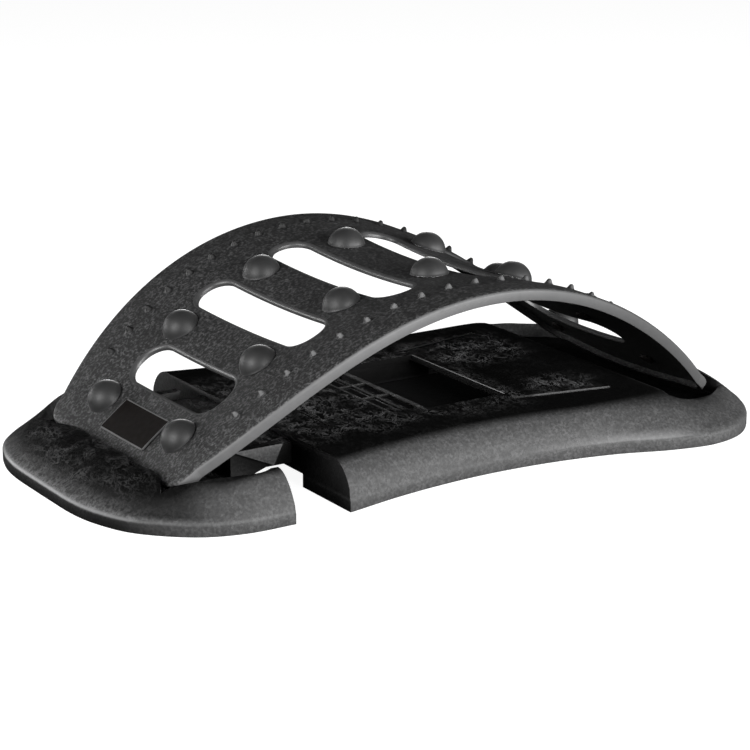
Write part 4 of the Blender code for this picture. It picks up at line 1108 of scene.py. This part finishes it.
def grain_material(name, rail, deck, rough, grain, fine, gloss):
    """Black moulded plastic: a near-black ground with fine crossing strokes on upward faces, and a blotchy
    satin mottle on the rails.

    The near-black ground is partly the deck's own finish and partly painted shade on the tops. The strokes are
    grain, painted light as its glints. Faces turned to the end piece, and faces inside the sleeve, the recess
    and the far groove, are darker as painted shade. The bars, the recess's rim and the crease over the skirt
    carry painted highlights, a little lighter.
    """
    n = Nodes(name, gloss)
    facing = n.facing()
    spot = n.parts(n.place)
    up = facing["Z"]
    away = n.math("ABSOLUTE", spot["Y"], 0.0)

    def along(low, high, start=0.0, end=1.0):
        return n.ramp(spot["X"], low + SHIFT_X, high + SHIFT_X, start, end)

    def between(low, high, *fade):
        return n.within(spot["X"], low + SHIFT_X, high + SHIFT_X, *fade)

    # The end piece's top takes the near-black ground, partly painted shade, from further down its rail
    on_end = along(*END_TOP_X)
    on_main = n.ramp(on_end, 0.0, 1.0, 1.0, 0.0)
    lifted = n.math("ADD", up, n.times(on_end, END_LIFT))
    flat = n.ramp(lifted, 0.82, 0.985)

    # The deck's fibre strokes are grain painted light as its glints. They show only in places where the grain
    # catches light and fade out towards the rails. On the end piece's near side, by the arch's foot, they are
    # dimmed as painted shade
    clear = n.most(n.ramp(away, *GRAIN_GLINT_AWAY, 1.0, 0.06), n.times(on_end, 0.7))
    left_of_groove = along(*LEFT_DECK_X, 0.45, 0.03)
    beside_groove = n.times(n.within(away, *GROOVE_SIDE_AWAY), between(*GROOVE_SIDE_X), 0.5)
    far_glint_zone = n.times(between(*FAR_GLINT_X), n.ramp(spot["Y"], *FAR_GLINT_Y))
    glint_zones = n.most(left_of_groove, beside_groove, far_glint_zone)
    painted_shade_near_foot = n.ramp(spot["Y"], *NEAR_FOOT_SHADE_Y, 0.35, 1.0)
    clear = n.times(clear, glint_zones, n.ramp(on_end, 0.0, 1.0, 1.0, 0.36), n.most(on_main, painted_shade_near_foot))
    glint_patches = n.times(n.ramp(n.noise(85.0, 2.0), 0.4, 0.64, 0.1, 1.0), clear)
    fibres_and_glints = n.times(n.most(*[strokes(n, *lines) for lines in STROKES]), glint_patches)

    specks = n.ramp(n.noise(640.0, 3.0, 0.6), 0.38, 0.64)
    mottle = n.times(specks, n.ramp(n.noise(250.0, 3.0), 0.35, 0.65, 0.35, 1.0))
    coarse = n.bump(n.times(fibres_and_glints, n.ramp(lifted, 0.85, 0.98)), grain, 0.9)
    normal = n.bump(mottle, fine, 0.8, coarse)
    # Upward faces take the near-black ground with its light strokes, partly finish and partly painted shade;
    # the rails take the mottle
    skin = n.colour(flat, n.colour(mottle, *rail), n.colour(fibres_and_glints, *deck))

    # Painted shade: faces turned to the end piece, and those inside the sleeve, the recess and the far groove,
    # are darkened where shade falls
    turned = n.most(n.ramp(facing["X"], -0.9, -0.55, 0.06, 1.0), n.ramp(up, 0.2, 0.5))
    inside = n.times(between(*INSIDE_X), n.ramp(away, *INSIDE_AWAY, 1.0, 0.0))
    far_groove = n.times(between(*FAR_GROOVE_X), n.within(spot["Y"], *FAR_GROOVE_Y))
    shaded = n.times(turned, n.ramp(n.most(inside, far_groove), 0.0, 1.0, 1.0, 0.03))
    skin = n.darkened(skin, n.most(shaded, flat))

    # Painted highlights: light lines on the bars' and the recess rim's edges, along the crease over the skirt
    # and the foot of the rail, and a glow at the end piece's tip
    bars = between(WINDOW_LEFT_X - WINDOW_BAR, RECESS_LEFT_X, THIN_FADE)
    bars = n.times(bars, n.within(spot["Y"], -WINDOW_HALF_Y, WINDOW_HALF_Y), 0.12)
    rim = between(RECESS_END_X, RECESS_END_X + RIM_LINE, THIN_FADE)
    rim = n.times(rim, n.within(spot["Y"], -RECESS_HALF_Y, RECESS_HALF_Y))
    lip = n.times(n.most(bars, rim), n.ramp(up, 0.3, 0.5))
    lines = n.most(along(*TIP_LINE_X, 0.0, 0.36), along(*SIDE_LINE_X, 0.02, 0.06))
    crease = n.times(n.within(spot["Z"], *CREASE_Z), lines)
    shine = n.times(along(*SHINE_GROWS_X, 0.0, 0.22), along(*SHINE_ENDS_X, 1.0, 0.0))
    low_rail = n.times(n.ramp(spot["Z"], *SHINE_STARTS_Z), n.ramp(spot["Z"], *SHINE_ENDS_Z, 1.0, 0.0))
    glow = n.times(n.ramp(spot["Z"], *TIP_GLOW_Z, 0.16, 0.0), along(*TIP_GLOW_X))
    glow = n.times(glow, n.ramp(mottle, 0.0, 0.6, 0.4, 1.8), n.ramp(up, 0.1, 0.4))
    painted_highlights = n.most(lip, crease, glow, n.times(shine, low_rail))

    # The recess's walls are duller and the crease is glossier
    walls = n.times(between(*RECESS_X), n.ramp(away, *RECESS_AWAY, 1.0, 0.0))
    duller = n.times(walls, n.ramp(up, 0.2, 0.5, 0.5, 0.0))
    uneven = n.ramp(n.noise(420.0, 4.0), 0.3, 0.7, -0.05, 0.05)
    dull = n.math("ADD", uneven, n.ramp(up, 0.8, 0.97, *rough), duller)
    dull = n.math("SUBTRACT", dull, n.times(crease, 0.6))
    return n.finished(n.colour(painted_highlights, skin, PAINTED_HIGHLIGHT), dull, normal)


def plate_material(name, dark, light, edge, rough, fine, gloss):
    """The arch's plastic: sparse light grains on black, brighter towards -X as painted light, and a smooth
    satin band round its side walls, painted lighter as a highlight and darker towards +X as painted shade. The
    underside and the rim's inner walls are painted shade.
    """
    n = Nodes(name, gloss)
    facing = n.facing()
    spot = n.parts(n.place)
    band = n.ramp(n.math("ABSOLUTE", facing["Y"], 0.0), 0.45, 0.7)
    grains = n.ramp(n.noise(620.0, 3.0, 0.6), 0.46, 0.64)
    fines = n.ramp(n.noise(1300.0, 2.0), 0.35, 0.65, 0.35, 1.0)
    cloud = n.ramp(n.noise(150.0, 3.0), 0.32, 0.68, 0.5, 1.0)
    # The speckle is brighter towards -X and dimmer towards +X, painted light for the light that falls from the
    # left
    speckle = n.times(grains, fines, cloud, n.ramp(spot["X"], *SPECKLE_X, 1.0, 0.55))
    # The side band is painted lighter than the top as its highlight, and darkens towards +X as painted shade
    darker = n.ramp(spot["X"], *BAND_DARKENS_X, 1.0, 0.45)
    side = n.darkened(n.colour(n.noise(260.0), *edge), darker)
    skin = n.colour(band, n.colour(speckle, dark, light), side)
    # Painted shade: the underside and the rim's inner walls are darkened where shade falls under the arch, the
    # inner walls as dark as the underside
    under = n.ramp(facing["Z"], -0.75, -0.45, 0.12, 1.0)
    inward = n.ramp(n.times(facing["Y"], spot["Y"]), -0.03, -0.015, 0.08, 1.0)
    skin = n.darkened(skin, n.times(under, inward))
    uneven = n.times(n.noise(820.0, 4.0, 0.7), n.ramp(band, 0.0, 1.0, 1.0, 0.1))
    duller = n.times(band, n.ramp(spot["X"], *BAND_DULLS_X, 0.0, 0.25))
    dull = n.math("ADD", n.ramp(speckle, 0.0, 1.0, rough + 0.06, rough - 0.05), duller)
    return n.finished(skin, dull, n.bump(uneven, fine, 0.8))


def smooth_material(name, dark, light, rough, fine, gloss=0.5):
    """Smooth moulded plastic or rubber with a very fine unevenness."""
    n = Nodes(name, gloss)
    skin = n.colour(n.noise(110.0), dark, light)
    dull = n.ramp(n.noise(300.0), 0.3, 0.7, rough - 0.04, rough + 0.05)
    return n.finished(skin, dull, n.bump(n.noise(900.0, 3.0), fine, 0.6))


def steel_material():
    n = Nodes("screw_zinc")
    n.shader.inputs["Metallic"].default_value = 1.0
    skin = n.colour(n.noise(600.0), (0.3, 0.3, 0.3), (0.42, 0.42, 0.41))
    dull = n.ramp(n.noise(800.0), 0.3, 0.7, 0.28, 0.42)
    return n.finished(skin, dull, n.bump(n.noise(2500.0), 0.02 * MM, 0.5))


def floor_material():
    n = Nodes("studio_floor", 0.0)
    n.put(n.colour(n.noise(3.0), (0.3, 0.3, 0.3), (0.32, 0.32, 0.32)), n.shader.inputs["Base Color"])
    n.shader.inputs["Roughness"].default_value = 0.9
    n.shader.inputs["Emission Color"].default_value = (1.0, 1.0, 1.0, 1.0)
    n.shader.inputs["Emission Strength"].default_value = 0.93
    return n.material


def dress(piece, *materials):
    mesh = piece.data
    if mesh.materials:
        mesh.materials.clear()
    for material in materials:
        mesh.materials.append(material)
    mesh.shade_smooth()
    mesh.set_sharp_from_angle(angle=math.radians(SHARP_OVER))


def soften(piece):
    """Small rounds on a shell's sharp edges, as a mould leaves them."""
    step = piece.modifiers.new("edge_round", "BEVEL")
    step.width = EDGE_ROUND
    step.segments = 2
    step.limit_method = "ANGLE"
    step.angle_limit = math.radians(ROUND_OVER)
    settle(piece)


# Pieces

base_look = grain_material(
    "base_grain",
    rail=((0.024, 0.024, 0.0242), (0.052, 0.052, 0.0525)),
    deck=((0.0002, 0.0002, 0.0002), (0.2, 0.2, 0.202)),
    rough=(0.58, 0.5),
    grain=0.2 * MM,
    fine=0.09 * MM,
    gloss=0.16,
)
arch_look = plate_material(
    "arch_grain",
    dark=(0.01, 0.01, 0.0101),
    light=(0.1, 0.1, 0.101),
    edge=((0.066, 0.066, 0.0666), (0.086, 0.086, 0.087)),
    rough=0.52,
    fine=0.07 * MM,
    gloss=0.3,
)
lip_look = smooth_material(
    "slot_lip", (0.028, 0.028, 0.0283), (0.04, 0.04, 0.0404), rough=0.42, fine=0.012 * MM, gloss=0.45
)
dome_look = smooth_material(
    "dome_satin", (0.01, 0.01, 0.0101), (0.014, 0.014, 0.0142), rough=0.52, fine=0.012 * MM, gloss=0.32
)
dome_shader = dome_look.node_tree.nodes["Principled BSDF"]
dome_shader.inputs["Sheen Weight"].default_value = 0.6
dome_shader.inputs["Sheen Roughness"].default_value = 0.25
badge_look = smooth_material(
    "badge_satin", (0.0026, 0.002, 0.0018), (0.0036, 0.0028, 0.0025), rough=0.6, fine=0.01 * MM, gloss=0.08
)
# A painted highlight along the badge's edges
badge_edge = smooth_material(
    "badge_edge", (0.06, 0.06, 0.06), (0.09, 0.09, 0.09), rough=0.5, fine=0.01 * MM, gloss=0.3
)
plain_look = smooth_material(
    "cover_plastic", (0.0035, 0.0035, 0.0036), (0.0052, 0.0052, 0.0053), rough=0.5, fine=0.03 * MM, gloss=0.2
)
rubber_look = smooth_material(
    "pad_rubber_look", (0.014, 0.014, 0.014), (0.022, 0.022, 0.022), rough=0.85, fine=0.05 * MM
)
steel_look = steel_material()

base_main = make_base_main()
soften(base_main)
dress(base_main, base_look)
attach(base_main, "base")
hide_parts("base_main")

base_end = make_base_end()
soften(base_end)
dress(base_end, base_look)
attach(base_end, "end_piece")
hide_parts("base_end")


def put_on_arch(piece, materials, node):
    dress(piece, *materials)
    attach(piece, "arch")
    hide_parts(node)
    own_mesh(piece)


put_on_arch(make_arch(), (arch_look, lip_look), "arch_plate")
for dome_number, dome in enumerate(make_domes(), 1):
    # The domes' stems and snap heads take the near-black badge colour as painted shade
    put_on_arch(dome, (dome_look, badge_look), f"massage_dome_{dome_number:02d}")
put_on_arch(make_badge(), (badge_look, badge_edge), "badge_plate")

for name, node in nodes.items():
    if name.startswith("cover_screw"):
        look = steel_look
    elif name.startswith("foot_pad"):
        look = rubber_look
    elif name in ("guide_cover", "catch_finger"):
        look = plain_look
    else:
        continue
    node.data.materials.clear()
    node.data.materials.append(look)

for cutter in [o for o in bpy.data.objects if o.display_type == "WIRE"]:
    bpy.data.objects.remove(cutter)

# Floor, camera and lights

# The camera is solved from the photo, together with the board's proportions
CAMERA_PLACE = (-0.6723 + SHIFT_X, -1.0504, 0.3928)
CAMERA_TILT = 16.2
CAMERA_TURN = -32.34
CAMERA_LENS = 118.39
FLOOR_SIZE = 6.0
AIM_HEIGHT = 0.05

floor_bm = bmesh.new()
bmesh.ops.create_grid(floor_bm, x_segments=1, y_segments=1, size=FLOOR_SIZE)
floor_mesh = bpy.data.meshes.new("studio_floor")
floor_bm.to_mesh(floor_mesh)
floor_bm.free()
floor = add("studio_floor", floor_mesh)
floor_mesh.materials.append(floor_material())
floor.visible_diffuse = False
floor.visible_glossy = False

camera = add("camera", bpy.data.cameras.new("camera"))
camera.location = CAMERA_PLACE
camera.rotation_euler = Euler((math.radians(90 - CAMERA_TILT), 0, math.radians(CAMERA_TURN)))
camera.data.lens = CAMERA_LENS
scene.camera = camera


def area_light(name, azimuth, height, distance, size, watts):
    """A soft box at an azimuth and height, turned to the board's middle."""
    data = bpy.data.lights.new(name, "AREA")
    data.shape = "RECTANGLE"
    data.size = size[0]
    data.size_y = size[1]
    data.energy = watts
    light = add(name, data)
    angle = math.radians(azimuth)
    light.location = (distance * math.cos(angle), distance * math.sin(angle), height)
    aim = light.location - Vector((0, 0, AIM_HEIGHT))
    light.rotation_euler = aim.to_track_quat("Z", "Y").to_euler()


area_light("left_high", azimuth=192, height=0.58, distance=1.22, size=(0.7, 0.5), watts=20.0)
area_light("left_low", azimuth=188, height=0.3, distance=1.29, size=(0.8, 0.2), watts=7.0)
area_light("front", azimuth=277, height=0.38, distance=1.25, size=(0.8, 0.5), watts=30.0)
area_light("right_low", azimuth=315, height=0.16, distance=1.29, size=(0.8, 0.3), watts=26.0)
area_light("back_left", azimuth=125, height=0.16, distance=1.29, size=(0.8, 0.3), watts=6.0)
area_light("back_right", azimuth=10, height=0.9, distance=1.1, size=(0.9, 0.9), watts=0.9)

world = bpy.data.worlds.new("studio")
scene.world = world
world.use_nodes = True
tree = world.node_tree
background = tree.nodes["Background"]
background.inputs["Color"].default_value = (0.1, 0.1, 0.1, 1.0)
background.inputs["Strength"].default_value = 0.06
seen = tree.nodes.new("ShaderNodeBackground")
seen.inputs["Color"].default_value = (1.0, 1.0, 1.0, 1.0)
rays = tree.nodes.new("ShaderNodeLightPath")
choose = tree.nodes.new("ShaderNodeMixShader")
tree.links.new(rays.outputs["Is Camera Ray"], choose.inputs[0])
for index, shader in enumerate((background, seen), 1):
    tree.links.new(shader.outputs[0], choose.inputs[index])
tree.links.new(choose.outputs[0], tree.nodes["World Output"].inputs["Surface"])

scene.view_settings.view_transform = "Standard"
scene.view_settings.look = "None"

bpy.context.view_layer.update()
